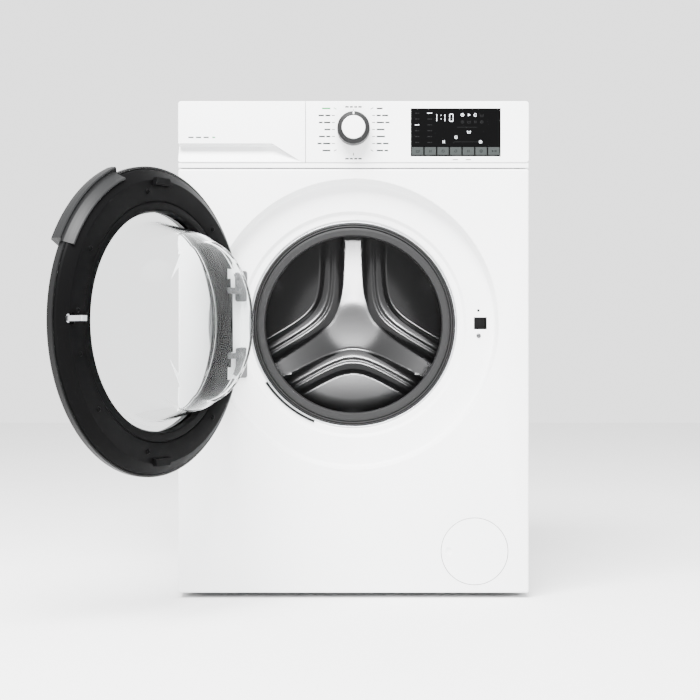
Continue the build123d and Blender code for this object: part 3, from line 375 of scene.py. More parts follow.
def place(
    name: str,
    points: Array,
    faces: Array,
    finish: Finish,
    body: str,
    replaces: Sequence[str] = (),
    uv: Array | None = None,
) -> bpy.types.Object:
    """Make a piece from arrays and let it ride on a body.

    Args:
        name: the piece's name.
        points: (n, 3) array of places in the row frame.
        faces: (m, 4) or (m, 3) array of corners.
        finish: what it is made of.
        body: the CAD body that carries it.
        replaces: CAD nodes that it stands for.
        uv: (n, 2) array, one place in the UV map for each point.

    Returns:
        The new object.
    """
    mesh = bpy.data.meshes.new(name)
    mesh.from_pydata(points.reshape(-1, 3).tolist(), [], faces.tolist())
    if uv is not None:
        layer = mesh.uv_layers.new(name="UVMap")
        corners = np.array([loop.vertex_index for loop in mesh.loops])
        layer.data.foreach_set("uv", uv[corners].astype(np.float32).ravel())
    piece = finish_mesh(name, mesh, finish)
    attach(piece, body)
    if replaces:
        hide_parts(*replaces)
    return piece


def grid_faces(rows: int, columns: int, wrap_rows: bool, wrap_columns: bool) -> Array:
    """Quads of a grid of points, row by row, closed round on itself where asked."""
    i = np.arange(rows if wrap_rows else rows - 1)[:, None]
    j = np.arange(columns if wrap_columns else columns - 1)[None, :]
    down = (i + 1) % rows
    right = (j + 1) % columns
    quads = np.stack(
        [i * columns + j, i * columns + right, down * columns + right, down * columns + j], -1
    )
    return quads.reshape(-1, 4)


def rounded(points: Sequence[tuple[float, float]], radius: float | Sequence[float]) -> Array:
    """A polyline with an arc at each inner corner.

    Each corner is cut back along both runs by radius * tan(turn / 2), and the arc between the
    two cuts is a quadratic curve through them with the corner as its control point.

    Args:
        points: the corners.
        radius: one radius, or one for each inner corner.

    Returns:
        (n, 2) array.
    """
    corners = np.array(points, float)
    radii = np.broadcast_to(np.array(radius, float), len(corners) - 2)
    line = [corners[:1]]
    t = np.linspace(0, 1, 7)[:, None]
    for before, corner, after, r in zip(corners, corners[1:], corners[2:], radii):
        a, b = before - corner, after - corner
        la, lb = np.linalg.norm(a), np.linalg.norm(b)
        turn = math.pi - math.acos(np.clip(a @ b / (la * lb), -1, 1))
        cut = min(r * math.tan(turn / 2), 0.49 * la, 0.49 * lb)
        start, stop = corner + a / la * cut, corner + b / lb * cut
        line.append((1 - t) ** 2 * start + 2 * t * (1 - t) * corner + t**2 * stop)
    line.append(corners[-1:])
    return np.concatenate(line)


def ring_sweep(section: Array, steps: int, centre: tuple[float, float] | None = None) -> Array:
    """Turn a (radius, depth) section about a line along Y.

    Point (r, y) at angle a goes to (cx + r cos a, y, cz + r sin a).

    Args:
        section: (n, 2) array in metres.
        steps: points round the turn.
        centre: X and Z of the line; the drum's own if left out.

    Returns:
        (steps, n, 3) array.
    """
    cx, cz = centre if centre else (0.0, PORT_Z)
    angle = np.linspace(0, 2 * math.pi, steps, endpoint=False)[:, None]
    r, y = section[None, :, 0], section[None, :, 1]
    return np.stack([cx + r * np.cos(angle), y + 0 * angle, cz + r * np.sin(angle)], -1)


def prism(outline: Array, back: float, front: float) -> tuple[Array, Array]:
    """A flat shape in X and Z, thick along Y: two fans about its middle and a wall.

    Args:
        outline: (n, 2) array of X and Z.
        back: Y of its back.
        front: Y of its front.

    Returns:
        Points and triangles.
    """
    n = len(outline)
    middle = outline.mean(0)
    rim = np.arange(n)
    after = (rim + 1) % n
    front_points = np.column_stack([outline[:, 0], np.full(n, front), outline[:, 1]])
    back_points = np.column_stack([outline[:, 0], np.full(n, back), outline[:, 1]])
    hubs = np.array([[middle[0], front, middle[1]], [middle[0], back, middle[1]]])
    points = np.concatenate([front_points, back_points, hubs])
    faces = np.concatenate([
        np.column_stack([rim, after, np.full(n, 2 * n)]),
        np.column_stack([after + n, rim + n, np.full(n, 2 * n + 1)]),
        np.column_stack([rim, rim + n, after]),
        np.column_stack([after, rim + n, after + n]),
    ])
    return points, faces


def merged(parts: Sequence[tuple[Array, Array]]) -> tuple[Array, Array]:
    """Join several (points, faces) pairs into one."""
    starts = np.cumsum([0] + [len(p) for p, _ in parts[:-1]])
    points = np.concatenate([p for p, _ in parts])
    faces = np.concatenate([f + s for (_, f), s in zip(parts, starts)])
    return points, faces


def swing(points: Array) -> Array:
    """Turn places on the closed door to where they are on the open one, about the hinge line."""
    c, s = math.cos(-DOOR_OPEN), math.sin(-DOOR_OPEN)
    x, y = points[..., 0] - HINGE_X, points[..., 1] - HINGE_Y
    return np.stack([HINGE_X + c * x - s * y, HINGE_Y + s * x + c * y, points[..., 2]], -1)


def smooth_copy(node: str, finish: Finish) -> bpy.types.Object:
    """Stand for a CAD node with a welded, smooth shaded copy of it.

    Args:
        node: the node's name.
        finish: what it is made of.

    Returns:
        The copy.
    """
    source = frame["nodes"][node]
    piece = finish_mesh(f"{node}_skin", source.data.copy(), finish)
    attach(piece, source["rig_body"])
    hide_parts(node)
    return piece


# ---------------------------------------------------------------- flat marks


@dataclass
class Marks:
    """Small flat shapes on a surface that faces the front, gathered into one piece.

    Attributes:
        face: Y of the surface.
        proud: how far the marks stand out of it.
        parts: the shapes made so far.
    """

    face: float
    proud: float = 0.00012
    parts: list[tuple[Array, Array]] = field(default_factory=list)

    def shape(self, outline: Array) -> None:
        """Add a closed shape from its (n, 2) outline in X and Z."""
        self.parts.append(prism(outline, self.face + self.proud, self.face - self.proud))

    def bar(self, x: float, z: float, width: float, height: float, turn: float = 0.0) -> None:
        """Add a bar about (x, z), turned by an angle in radians."""
        corners = np.array([[-1, -1], [1, -1], [1, 1], [-1, 1]]) * [width / 2, height / 2]
        c, s = math.cos(turn), math.sin(turn)
        self.shape(corners @ np.array([[c, s], [-s, c]]) + [x, z])

    def disc(self, x: float, z: float, radius: float, sides: int = 20) -> None:
        """Add a disc, or a polygon with few sides."""
        angle = np.linspace(0, 2 * math.pi, sides, endpoint=False)
        self.shape(np.column_stack([x + radius * np.cos(angle), z + radius * np.sin(angle)]))

    def ring(
        self, x: float, z: float, radius: float, stroke: float,
        start: float = 0.0, stop: float = 360.0,
    ) -> None:
        """Add a band of a circle between two angles in degrees, as short bars end to end."""
        steps = max(6, int(abs(stop - start) / 18))
        angle = np.radians(np.linspace(start, stop, steps + 1))
        for a, b in zip(angle, angle[1:]):
            inner, outer = radius - stroke / 2, radius + stroke / 2
            self.shape(np.array([
                [x + inner * math.cos(a), z + inner * math.sin(a)],
                [x + outer * math.cos(a), z + outer * math.sin(a)],
                [x + outer * math.cos(b), z + outer * math.sin(b)],
                [x + inner * math.cos(b), z + inner * math.sin(b)],
            ]))

    def words(self, x: float, z: float, lengths: Sequence[float], height: float, side: int) -> None:
        """Add a row of short strokes in place of words, running to one side of x."""
        at = x
        for length in lengths:
            self.bar(at + side * length / 2, z, length, height)
            at += side * (length + height * 0.8)

    def digit(self, x: float, z: float, value: int, height: float) -> None:
        """Add a seven-segment digit with its lower left corner at (x, z)."""
        lit = {
            0: "abcdef", 1: "bc", 2: "abged", 3: "abgcd", 4: "fgbc",
            5: "afgcd", 6: "afgedc", 7: "abc", 8: "abcdefg", 9: "abcdfg",
        }[value]
        w, h, t = height * 0.48, height / 2, height * 0.075
        spots = {
            "a": (w / 2, 2 * h, w, t), "g": (w / 2, h, w, t), "d": (w / 2, 0, w, t),
            "f": (0, 1.5 * h, t, h), "b": (w, 1.5 * h, t, h),
            "e": (0, 0.5 * h, t, h), "c": (w, 0.5 * h, t, h),
        }
        for segment in lit:
            dx, dz, width, tall = spots[segment]
            self.bar(x + dx, z + dz, width * 0.86, tall * 0.86 if tall > t else t)

    def make(self, name: str, finish: Finish, body: str = "cabinet") -> bpy.types.Object:
        """Turn the shapes into one piece on a body."""
        return place(name, *merged(self.parts), finish, body)


# ---------------------------------------------------------------- sub-assemblies


@dataclass
class Cabinet:
    """Panels, lid, base and feet, with their screws and pressed ribs."""

    plain: dict[str, Finish] = field(default_factory=lambda: {
        "side_panel_left": ENAMEL, "side_panel_right": ENAMEL, "front_panel": ENAMEL,
        "front_beam": ENAMEL, "rear_panel": ZINC, "top_cover": WHITE_PLASTIC,
        "base_pan": DARK, "foot_front_left": HOSE, "foot_front_right": HOSE,
        "foot_back_left": HOSE, "foot_back_right": HOSE,
        "hinge_bracket": BRACKET, "door_lock": DARK, "mains_inlet": DARK, "inlet_valve": WHITE_PLASTIC,
        "dispenser_housing": GREY, "drain_outlet": DARK,
    })
    screw_r: float = 3.6 * MM
    dish_depth: float = 22 * MM

    def build(self) -> None:
        """Dress the CAD panels and add the fastenings."""
        for node, finish in self.plain.items():
            smooth_copy(node, finish)
        self.rear_screws()
        self.rear_ribs()
        self.dish_marks()
        self.flap()
        LOG.info("cabinet dressed")

    def rear_screws(self) -> None:
        """Domed screw heads round the back sheet."""
        low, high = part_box("rear_panel")
        inset, rows = 12 * MM, np.linspace(low.z + 0.02, high.z - 0.02, 5)
        spots = [(x, z) for x in (low.x + inset, high.x - inset) for z in rows]
        spots += [(x, z) for x in (-0.15, 0.0, 0.15) for z in (low.z + inset, high.z - inset)]
        heads = [screw_head((x, high.y, z), self.screw_r, +1) for x, z in spots]
        place("rear_screws", *merged(heads), STEEL, "cabinet")

    def rear_ribs(self) -> None:
        """Pressed stiffening ribs in the back sheet: long low domes with round ends."""
        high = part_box("rear_panel")[1]
        u = np.linspace(0, 2 * math.pi, 48, endpoint=False)
        v = np.linspace(0, 1, 6)[:, None]
        ribs = []
        for z in (0.2, 0.33, 0.6, 0.73):
            half, r = 0.17, 0.012
            reach = r * np.cos(v * math.pi / 2)
            x = np.sign(np.cos(u)) * half + reach * np.cos(u)
            height = z + reach * np.sin(u)
            y = high.y + 0.003 * np.sin(v * math.pi / 2)
            points = np.stack(np.broadcast_arrays(x, y, height), -1)
            ribs.append((points.reshape(-1, 3), grid_faces(6, 48, False, True)))
        place("rear_ribs", *merged(ribs), ZINC, "cabinet")

    def flap(self) -> None:
        """The round service flap, with a bowl-shaped dip for a finger.

        The dip at a distance d from its middle is (1 - (d / r)^2)^2 of its depth. The back and
        the clips keep the CAD's outline.
        """
        low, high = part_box("service_flap")
        cx, cz = (low.x + high.x) / 2, (low.z + high.z) / 2
        outer = (high.x - low.x) / 2
        steps = 192
        d = np.concatenate([np.linspace(0, outer - 0.0006, 90), [outer - 0.0001, outer, outer]])[:, None]
        a = np.linspace(0, 2 * math.pi, steps, endpoint=False)[None, :]
        x, z = d * np.cos(a), d * np.sin(a)
        away = np.hypot(x + 43.3 * MM, z - 0.5 * MM) / (7.4 * MM)
        dip = 0.0022 * np.clip(1 - away**2, 0, 1) ** 1.5
        edge = np.zeros(len(d))
        edge[-3:] = (0.0001, 0.0006, 0.0026)
        y = low.y + dip + edge[:, None]
        front = np.stack([cx + x, y, cz + z], -1)
        back = np.broadcast_to([cx, low.y + 0.0026, cz], (1, steps, 3))
        place(
            "flap_skin", np.concatenate([front, back]), grid_faces(len(d) + 1, steps, False, True),
            WHITE_PLASTIC, "flap", replaces=["service_flap"],
        )
        clips = []
        for turn in (45, 135, 225, 315):
            t = math.radians(turn)
            corners = np.array([[52, -6], [54, -6], [54, 6], [52, 6]]) * MM
            c, s = math.cos(t), math.sin(t)
            outline = corners @ np.array([[c, s], [-s, c]]) + [cx, cz]
            clips.append(prism(outline, low.y + 0.009, low.y + 0.002))
        place("flap_clips", *merged(clips), WHITE_PLASTIC, "flap")

    def dish_marks(self) -> None:
        """Screws by the lock and the hinge, and the small pressed corner on the dish floor."""
        floor = FRONT + self.dish_depth
        lock_x = (LOCK_LOW.x + LOCK_HIGH.x) / 2
        lock_z = (LOCK_LOW.z + LOCK_HIGH.z) / 2
        hinge_low, hinge_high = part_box("hinge_bracket")
        heads = [
            screw_head((lock_x - 2.5 * MM, floor, lock_z - 21.5 * MM), 4.2 * MM, -1),
            screw_head((hinge_low.x + 28 * MM, floor - 2.8 * MM, hinge_high.z - 9 * MM), 4.4 * MM, -1),
            screw_head((hinge_low.x + 28 * MM, floor - 2.8 * MM, hinge_low.z + 9 * MM), 4.4 * MM, -1),
        ]
        place("dish_screws", *merged(heads), BRACKET, "cabinet")
        corner = Marks(floor, 0.0005)
        corner.bar(-29 * MM, PORT_Z + 226 * MM, 12 * MM, 1.6 * MM)
        corner.bar(-34.2 * MM, PORT_Z + 219 * MM, 1.6 * MM, 14 * MM)
        corner.make("dish_corner_press", ENAMEL)


def screw_head(centre: Point, radius: float, way: int) -> tuple[Array, Array]:
    """A domed head with a cross recess, facing the front (-1) or the back (+1).

    The dome's height over a point at distance d is (1 - (d / r)^2) of its full height, less a
    cross-shaped dip where either coordinate is small.
    """
    rings, steps = 8, 24
    d = np.linspace(0, 1, rings)[:, None]
    a = np.linspace(0, 2 * math.pi, steps, endpoint=False)
    x, z = radius * d * np.cos(a), radius * d * np.sin(a)
    arm, reach = 0.16 * radius, 0.55 * radius
    cross = ((abs(x) < arm) & (abs(z) < reach)) | ((abs(z) < arm) & (abs(x) < reach))
    height = radius * (0.42 * (1 - d**3) + 0.12) - np.where(cross, 0.3 * radius, 0)
    height = np.where(d >= 1, -0.0004, height)
    points = np.stack([centre[0] + x, centre[1] + way * height, centre[2] + z], -1)
    sunk = centre[1] - way * 0.0012
    back = np.stack([centre[0] + x[-1], np.full(steps, sunk), centre[2] + z[-1]], -1)
    points = np.concatenate([points.reshape(-1, 3), back, [[centre[0], sunk, centre[2]]]])
    faces = grid_faces(rings + 1, steps, False, True)
    rim = rings * steps + np.arange(steps)
    middle = np.full(steps, len(points) - 1)
    cap = np.column_stack([rim, np.roll(rim, -1), middle, middle])
    return points, np.concatenate([faces, cap])


@dataclass
class Controls:
    """Fascia, drawer, knob, display and keys, with their printing."""

    ring_r: float = 28 * MM
    cap_r: float = 19.8 * MM
    length: float = 31 * MM
    row_gap: float = 12 * MM

    def build(self) -> None:
        """Make the knob, its scale, the display and the keys."""
        smooth_copy("control_fascia", WHITE_PLASTIC)
        smooth_copy("display_window", DISPLAY)
        smooth_copy("drawer_front", WHITE_PLASTIC)
        smooth_copy("drawer_tray", GREY)
        for index in range(1, 8):
            smooth_copy(f"key_{index}", KEY_GREY)
        self.knob()
        self.scale()
        self.display()
        self.key_icons()
        self.drawer_marks()
        LOG.info("controls dressed")

    def knob(self) -> None:
        """A sloping metallic ring with a pointer notch, and a shallow domed cap."""
        nose = FRONT - self.length
        ring = rounded(
            [
                (0.004, FRONT + 0.008), (0.003, FRONT - 0.001), (self.ring_r, FRONT - 0.0012),
                (self.ring_r - 0.0004, nose + 0.0055), (self.cap_r + 0.0012, nose + 0.0006),
                (self.cap_r + 0.0004, nose + 0.002), (self.cap_r + 0.0004, nose + 0.02),
                (0.004, nose + 0.02),
            ],
            [0.0001, 0.0008, 0.0016, 0.0006, 0.0003, 0.0003],
        )
        points = ring_sweep(ring, 160, (0.0, KNOB_Z))
        place(
            "knob_ring", points, grid_faces(160, len(ring), True, True), SILVER, "knob",
            replaces=["program_knob"],
        )
        cap = rounded(
            [
                (0.0, nose + 0.003), (0.004, nose + 0.003), (0.004, nose + 0.021),
                (self.cap_r, nose + 0.021), (self.cap_r, nose + 0.0002), (0.0, nose),
            ],
            [0.0002, 0.0002, 0.0002, 0.0012],
        )
        inner_points = len(cap) // 3
        cap = np.concatenate([[[0.0, nose + 0.021]], cap[inner_points:]])
        place(
            "knob_cap", ring_sweep(cap, 96, (0.0, KNOB_Z)), grid_faces(96, len(cap), True, False),
            WHITE_PLASTIC, "knob",
        )
        pointer = Marks(nose + 0.003, 0.0032)
        middle = (self.ring_r + self.cap_r) / 2 + 0.0006
        pointer.bar(0.0, KNOB_Z + middle, 2.2 * MM, self.ring_r - self.cap_r - 0.0026)
        pointer.make("knob_pointer", WHITE_PLASTIC, "knob")

    def scale(self) -> None:
        """Sixteen ticks about the knob and a stroke of print in place of each word."""
        ink, grey, green = Marks(FRONT), Marks(FRONT), Marks(FRONT)
        reach = 34.5 * MM
        lengths = ((16, 9), (13,), (11, 12), (17,), (9, 13), (14, 8), (18,))
        for side in (-1, 1):
            for row in range(7):
                z = KNOB_Z + (3 - row) * self.row_gap
                lean = math.radians(28) * (row == 0) - math.radians(28) * (row == 6)
                pen = green if (side, row) == (-1, 0) else ink
                x = side * (reach - 3 * MM * (row in (0, 6)))
                pen.bar(x, z, 5.4 * MM, 1.2 * MM, side * lean)
                words = [v * MM * 0.8 for v in lengths[(row * 3 + side) % 7]]
                pen = green if (side, row) == (-1, 0) else grey
                pen.words(side * (reach + 5 * MM), z, words, 2.6 * MM, side)
        ink.bar(0, KNOB_Z + 32 * MM, 1.2 * MM, 4.6 * MM)
        ink.bar(0, KNOB_Z - 42.4 * MM, 1.2 * MM, 4.6 * MM)
        for way, z in ((-1, 38.6), (1, 38.6), (-1, -50), (1, -50)):
            grey.words(way * 1.2 * MM, KNOB_Z + z * MM, (5 * MM, 6 * MM), 2.4 * MM, way)
        for x, width in ((174, 9), (196.4, 9)):
            grey.bar(x * MM, WINDOW_LOW.z - 3 * MM, width * MM, 1.4 * MM)
        ink.make("scale_ticks", INK)
        grey.make("scale_words", INK_GREY)
        green.make("scale_green", INK_GREEN)

    def display(self) -> None:
        """Digits, small icons and two columns of words on the dark pane."""
        face = WINDOW_LOW.y
        lit, dim = Marks(face), Marks(face)
        left, top = WINDOW_LOW.x + 3 * MM, WINDOW_HIGH.z - 3 * MM
        time_x, time_z = left + 38 * MM, top - 22 * MM
        tall = 12.5 * MM
        lit.digit(time_x, time_z, 1, tall)
        lit.disc(time_x + 13.6 * MM, time_z + 4 * MM, 0.6 * MM)
        lit.disc(time_x + 13.6 * MM, time_z + 10.5 * MM, 0.6 * MM)
        lit.digit(time_x + 14 * MM, time_z, 1, tall)
        lit.digit(time_x + 28 * MM, time_z, 0, tall)
        for column, x in enumerate((left + 7 * MM, left + 28 * MM)):
            for row in range(6):
                z = top - 8 * MM - row * 10 * MM
                pen = lit if (column, row) in ((0, 2), (1, 0)) else dim
                pen.words(x, z, [(4 + (row * 3 + column) % 3) * MM, 2 * MM], 1.1 * MM, 1)
        self.icons(lit, dim, left, top)
        lit.make("display_lit", LIT)
        dim.make("display_dim", DIM)

    def icons(self, lit: Marks, dim: Marks, left: float, top: float) -> None:
        """Generic little pictures: rings, drops, arrows and bars to the right of the time."""
        x, z = left + 88 * MM, top - 11 * MM
        lit.ring(x, z, 2.4 * MM, 0.7 * MM)
        lit.bar(x, z + 0.8 * MM, 0.7 * MM, 2.4 * MM)
        lit.disc(x + 11 * MM, z, 2.6 * MM, 3)
        lit.ring(x + 22 * MM, z, 2.4 * MM, 0.7 * MM, 30, 330)
        unlit = ((0, -12, 0), (11, -12, 1), (22, -12, 2), (33, -12, 0), (-10, -36, 2), (33, -1, 1))
        for dx, dz, kind in unlit:
            self.icon(dim, x + dx * MM, z + dz * MM, kind)
        self.icon(lit, x + 11 * MM, z - 29 * MM, 1)
        self.icon(lit, x - 11 * MM, z - 38 * MM, 0)
        self.icon(lit, left + 56 * MM, top - 57 * MM, 2)
        self.icon(lit, left + 119 * MM, top - 57 * MM, 0)
        dim.bar(x + 8 * MM, z - 21 * MM, 34 * MM, 0.5 * MM)
        dim.bar(x + 8 * MM, z - 46 * MM, 44 * MM, 0.5 * MM)

    @staticmethod
    def icon(pen: Marks, x: float, z: float, kind: int) -> None:
        """Draw one of three small signs: a ringed dot, a tub of water or a pair of bars."""
        if kind == 0:
            pen.ring(x, z, 2.3 * MM, 0.6 * MM)
            pen.disc(x, z, 0.8 * MM, 10)
        elif kind == 1:
            pen.bar(x, z - 2 * MM, 5 * MM, 0.6 * MM)
            pen.bar(x - 2.6 * MM, z, 0.6 * MM, 4 * MM, 0.15)
            pen.bar(x + 2.6 * MM, z, 0.6 * MM, 4 * MM, -0.15)
            pen.bar(x, z + 0.6 * MM, 3.4 * MM, 0.6 * MM)
        else:
            pen.bar(x - 1.2 * MM, z, 0.8 * MM, 4.4 * MM)
            pen.bar(x + 1.2 * MM, z, 0.8 * MM, 4.4 * MM)

    def key_icons(self) -> None:
        """A small dark sign on each key, which moves with it."""
        for index in range(1, 8):
            low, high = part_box(f"key_{index}")
            x, z = (low.x + high.x) / 2, (low.z + high.z) / 2
            ink = Marks(low.y)
            if index == 7:
                ink.disc(x - 2.2 * MM, z, 1.9 * MM, 3)
                ink.bar(x + 2 * MM, z, 0.9 * MM, 3.4 * MM)
                ink.bar(x + 3.8 * MM, z, 0.9 * MM, 3.4 * MM)
            elif index in (3, 4):
                ink.ring(x, z, 2.1 * MM, 0.6 * MM, 90 - 300 * (index == 4), 390 - 300 * (index == 4))
                ink.bar(x, z + 1.4 * MM, 0.6 * MM, 2.4 * MM)
            else:
                self.icon(ink, x, z, index % 3)
            ink.make(f"key_{index}_sign", KEY_INK, f"key{index}")

    def drawer_marks(self) -> None:
        """A row of three plain dashes on the drawer's face, and a green dash after them."""
        dash = Marks(DRAWER_LOW.y)
        for k, width in enumerate((9, 9, 9)):
            dash.bar(DRAWER_LOW.x + (22 + 13 * k) * MM, DRAWER_LOW.z + 43 * MM, width * MM, 2.2 * MM)
        dash.make("drawer_dashes", INK_GREY, "drawer")
        green = Marks(DRAWER_LOW.y)
        green.bar(DRAWER_LOW.x + 61 * MM, DRAWER_LOW.z + 43 * MM, 5 * MM, 2.2 * MM)
        green.make("drawer_green_dash", INK_GREEN, "drawer")


@dataclass
class Seal:
    """The folded rubber seal between the panel's lip and the tub, its clamp ring and tab."""

    steps: int = 288

    def build(self) -> None:
        """Make the seal, leave it unparented where it stands, and dress its clamp."""
        mm = MM
        front = [
            (178.6, 34), (178.6, 31.5), (175.4, 31), (174.4, 28.4), (172.6, 27.6), (171.6, 30.6),
            (170.6, 27.6), (168.6, 27.2), (167.6, 30.6), (166.4, 26.8), (163, 26), (154.5, 26.2),
            (152.9, 28.5), (152.4, 38), (158, 44), (168.5, 49), (171.6, 55), (171.6, 64),
        ]
        rear = [
            (168.6, 64), (168.6, 57), (166, 52.5), (156.2, 47), (154.9, 42), (155.2, 32.5),
            (166, 33), (172, 35), (177, 36.5), (178.6, 36.5),
        ]
        outline = rounded(front + rear, 1.1) * mm + np.array([0.0, FRONT])
        points = ring_sweep(outline, self.steps)
        seal = place(
            "door_seal", points, grid_faces(self.steps, len(outline), True, True), RUBBER,
            "cabinet", replaces=["door_gasket"],
        )
        seal.parent = None
        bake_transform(seal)
        smooth_copy("gasket_clamp", STEEL)
        self.tab()
        LOG.info("seal made")

    def tab(self) -> None:
        """The dark curved tab that covers the clamp's tensioner, at the lower left of the lip."""
        angle = np.radians(np.linspace(213.5, 248, 40))
        section = np.array([(178.7, 24.6), (182.0, 24.6), (182.8, 26.9), (178.7, 26.9)]) * MM
        r, y = section[None, :, 0], section[None, :, 1]
        a = angle[:, None]
        points = np.stack([r * np.cos(a), FRONT + y + 0 * a, PORT_Z + r * np.sin(a)], -1)
        faces = grid_faces(40, 4, False, True)
        caps = np.array([[0, 1, 2, 3], [159, 158, 157, 156]])
        place("seal_tab", points, np.concatenate([faces, caps]), DARK, "cabinet")


@dataclass
class Drum:
    """Drum sheet, pressed back plate, front ring, paddles and everything behind them."""

    radius: float = 238.4 * MM
    arm: float = 19.0 * MM
    valley: float = 58.0 * MM
    soft: float = 21.0 * MM
    lean: float = 0.062

    def build(self) -> None:
        """Make the visible steel and dress the CAD parts round it."""
        self.back_plate()
        self.shell()
        smooth_copy("drum_front_ring", DRUM)
        smooth_copy("drum_lifters", GREY)
        for node, finish in {
            "drum_spider": ALLOY, "drum_pulley": ALLOY, "motor_pulley": STEEL, "bearings": STEEL,
            "tub_front": TUB, "tub_rear": TUB, "counterweights": CONCRETE, "heater": STEEL,
            "motor_body": MOTOR, "damper_rods": STEEL, "damper_cylinders": DARK, "drive_belt": HOSE,
            "pump_body": DARK, "pump_impeller": WHITE_PLASTIC, "pump_filter": GREY,
        }.items():
            smooth_copy(node, finish)
        self.springs()
        self.bellows("dispenser_hose")
        self.bellows("sump_hose")
        LOG.info("drum and tub dressed")

    def relief(self, x: Array, z: Array) -> Array:
        """Height of the pressed back over its lowest level, in metres.

        For a point between two arms, s is a soft minimum of its distances to both arms' lines:
        -k log(exp(-d1 / k) + exp(-d2 / k)). Where s is small lie the arms, which lean forward
        towards the rim. Beside them run concave grooves with a low ridge along the middle, and
        beyond those three lobes that fall away outwards. All of it fades out at the rim.
        """
        radius = np.hypot(x, z)
        angle = np.degrees(np.arctan2(z, x))
        off = np.radians(np.mod(angle - 90, 120))
        d1 = radius * np.sin(np.clip(off, 0, math.pi))
        d2 = radius * np.sin(math.radians(120) - off)
        s = -self.soft * np.log(np.exp(-d1 / self.soft) + np.exp(-d2 / self.soft))
        arm = 1 - smooth_step((s - self.arm + 1 * MM) / (8 * MM))
        past = radius - 0.05
        lean = np.minimum(0.0008 + self.lean * 0.5 * (np.sqrt(past**2 + 0.011**2) + past), 0.0084)
        lobe = smooth_step((s - self.valley + 3 * MM) / (9 * MM))
        fall = 0.0056 - np.clip(0.034 * (s - self.valley), 0, 0.004)
        middle = (self.arm + self.valley) / 2
        groove = 0.0016 * np.clip(((s - middle) / (self.valley - middle)) ** 2, 0, 1)
        ridge = np.exp(-(((s - middle - 2 * MM) / (3 * MM)) ** 2)) * 0.0006
        fade = smooth_step((self.radius - radius) / (14 * MM))
        return (lean * arm + fall * lobe + (groove + ridge) * (1 - arm) * (1 - lobe)) * fade

    def back_plate(self) -> None:
        """The drum's back: a polar grid raised by the relief, with a flat rear."""
        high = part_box("drum_back")[1]
        rings, steps = 150, 360
        r = np.linspace(0, self.radius, rings)[:, None]
        a = np.linspace(0, 2 * math.pi, steps, endpoint=False)[None, :]
        x, z = r * np.cos(a), r * np.sin(a)
        y = high.y - 0.0011 - self.relief(x, z)
        front = np.stack([x, y, PORT_Z + z], -1)
        rim = np.stack([x[-1], np.full(steps, high.y - 0.0002), PORT_Z + z[-1]], -1)[None]
        hub = np.stack([0 * x[0], np.full(steps, high.y - 0.0002), PORT_Z + 0 * z[0]], -1)[None]
        points = np.concatenate([front, rim, hub])
        place(
            "drum_back_plate", points, grid_faces(rings + 2, steps, False, True), DRUM, "drum",
            replaces=["drum_back"],
        )

    def shell(self) -> None:
        """The drum's rolled wall, with a UV map along its girth and depth for the holes."""
        low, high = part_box("drum_shell")
        outer = (high.x - low.x) / 2
        steps = 257
        a = np.linspace(0, 2 * math.pi, steps)[:, None]
        section = np.array([
            (outer, low.y), (outer, high.y), (outer - 0.0012, high.y), (outer - 0.0012, low.y),
        ])
        r, y = section[None, :, 0], section[None, :, 1]
        points = np.stack([r * np.cos(a), y + 0 * a, PORT_Z + r * np.sin(a)], -1)
        uv = np.stack([a * outer + 0 * r, y + 0 * a], -1).reshape(-1, 2)
        place(
            "drum_wall", points, grid_faces(steps, 4, False, True), DRUM_HOLES, "drum",
            replaces=["drum_shell"], uv=uv,
        )

    def springs(self) -> None:
        """Two coil springs with drawn-in ends, standing between cabinet and tub."""
        low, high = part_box("tub_springs")
        turns, steps, ring = 18, 18 * 24, 10
        t = np.linspace(0, 1, steps)
        for side, name in ((-1, "left"), (1, "right")):
            cx = side * (high.x - 0.01)
            reach = 0.0085 * np.sqrt(np.clip(np.minimum(t, 1 - t) * 12, 0.05, 1))
            a = 2 * math.pi * turns * t
            line = np.stack([cx + reach * np.cos(a), reach * np.sin(a), low.z + t * (high.z - low.z)], -1)
            points = tube_points(line, 0.0014, ring)
            coil = place(
                f"spring_{name}", points, grid_faces(steps, ring, False, True), SPRING, "cabinet",
                replaces=["tub_springs"],
            )
            coil.parent = None
            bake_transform(coil)

    def bellows(self, node: str) -> None:
        """A rubber hose with rolled folds, standing between cabinet and tub.

        Its radius over the height t is the mean plus a sine of so many waves.
        """
        low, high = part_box(node)
        cx, cy = (low.x + high.x) / 2, (low.y + high.y) / 2
        outer = (high.x - low.x) / 2
        rows, steps = 120, 72
        t = np.linspace(0, 1, rows)
        waves = max(4, int((high.z - low.z) / 0.011))
        cuff = smooth_step(np.minimum(t, 1 - t) * 9)
        r_out = outer - 0.0005 - 0.0016 * cuff * (1 - np.cos(2 * math.pi * waves * t))
        z = low.z + t * (high.z - low.z)
        wall = np.column_stack([r_out, z])
        lining = np.column_stack([np.full(rows, outer - 0.0036), z])[::-1]
        section = np.concatenate([wall, lining])
        a = np.linspace(0, 2 * math.pi, steps, endpoint=False)[:, None]
        r, height = section[None, :, 0], section[None, :, 1]
        points = np.stack([cx + r * np.cos(a), cy + r * np.sin(a), height + 0 * a], -1)
        hose = place(
            f"{node}_bellows", points, grid_faces(steps, len(section), True, True), HOSE,
            "cabinet", replaces=[node],
        )
        hose.parent = None
        top_is_cabinet = node == "dispenser_hose"
        start, end = ((cx, cy, high.z - 0.008), (cx, cy, low.z + 0.008))
        if not top_is_cabinet:
            start, end = end, start
        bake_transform(hose)


def smooth_step(t: Array) -> Array:
    """Ease from 0 to 1: 3t^2 - 2t^3, held flat outside."""
    t = np.clip(t, 0, 1)
    return t * t * (3 - 2 * t)


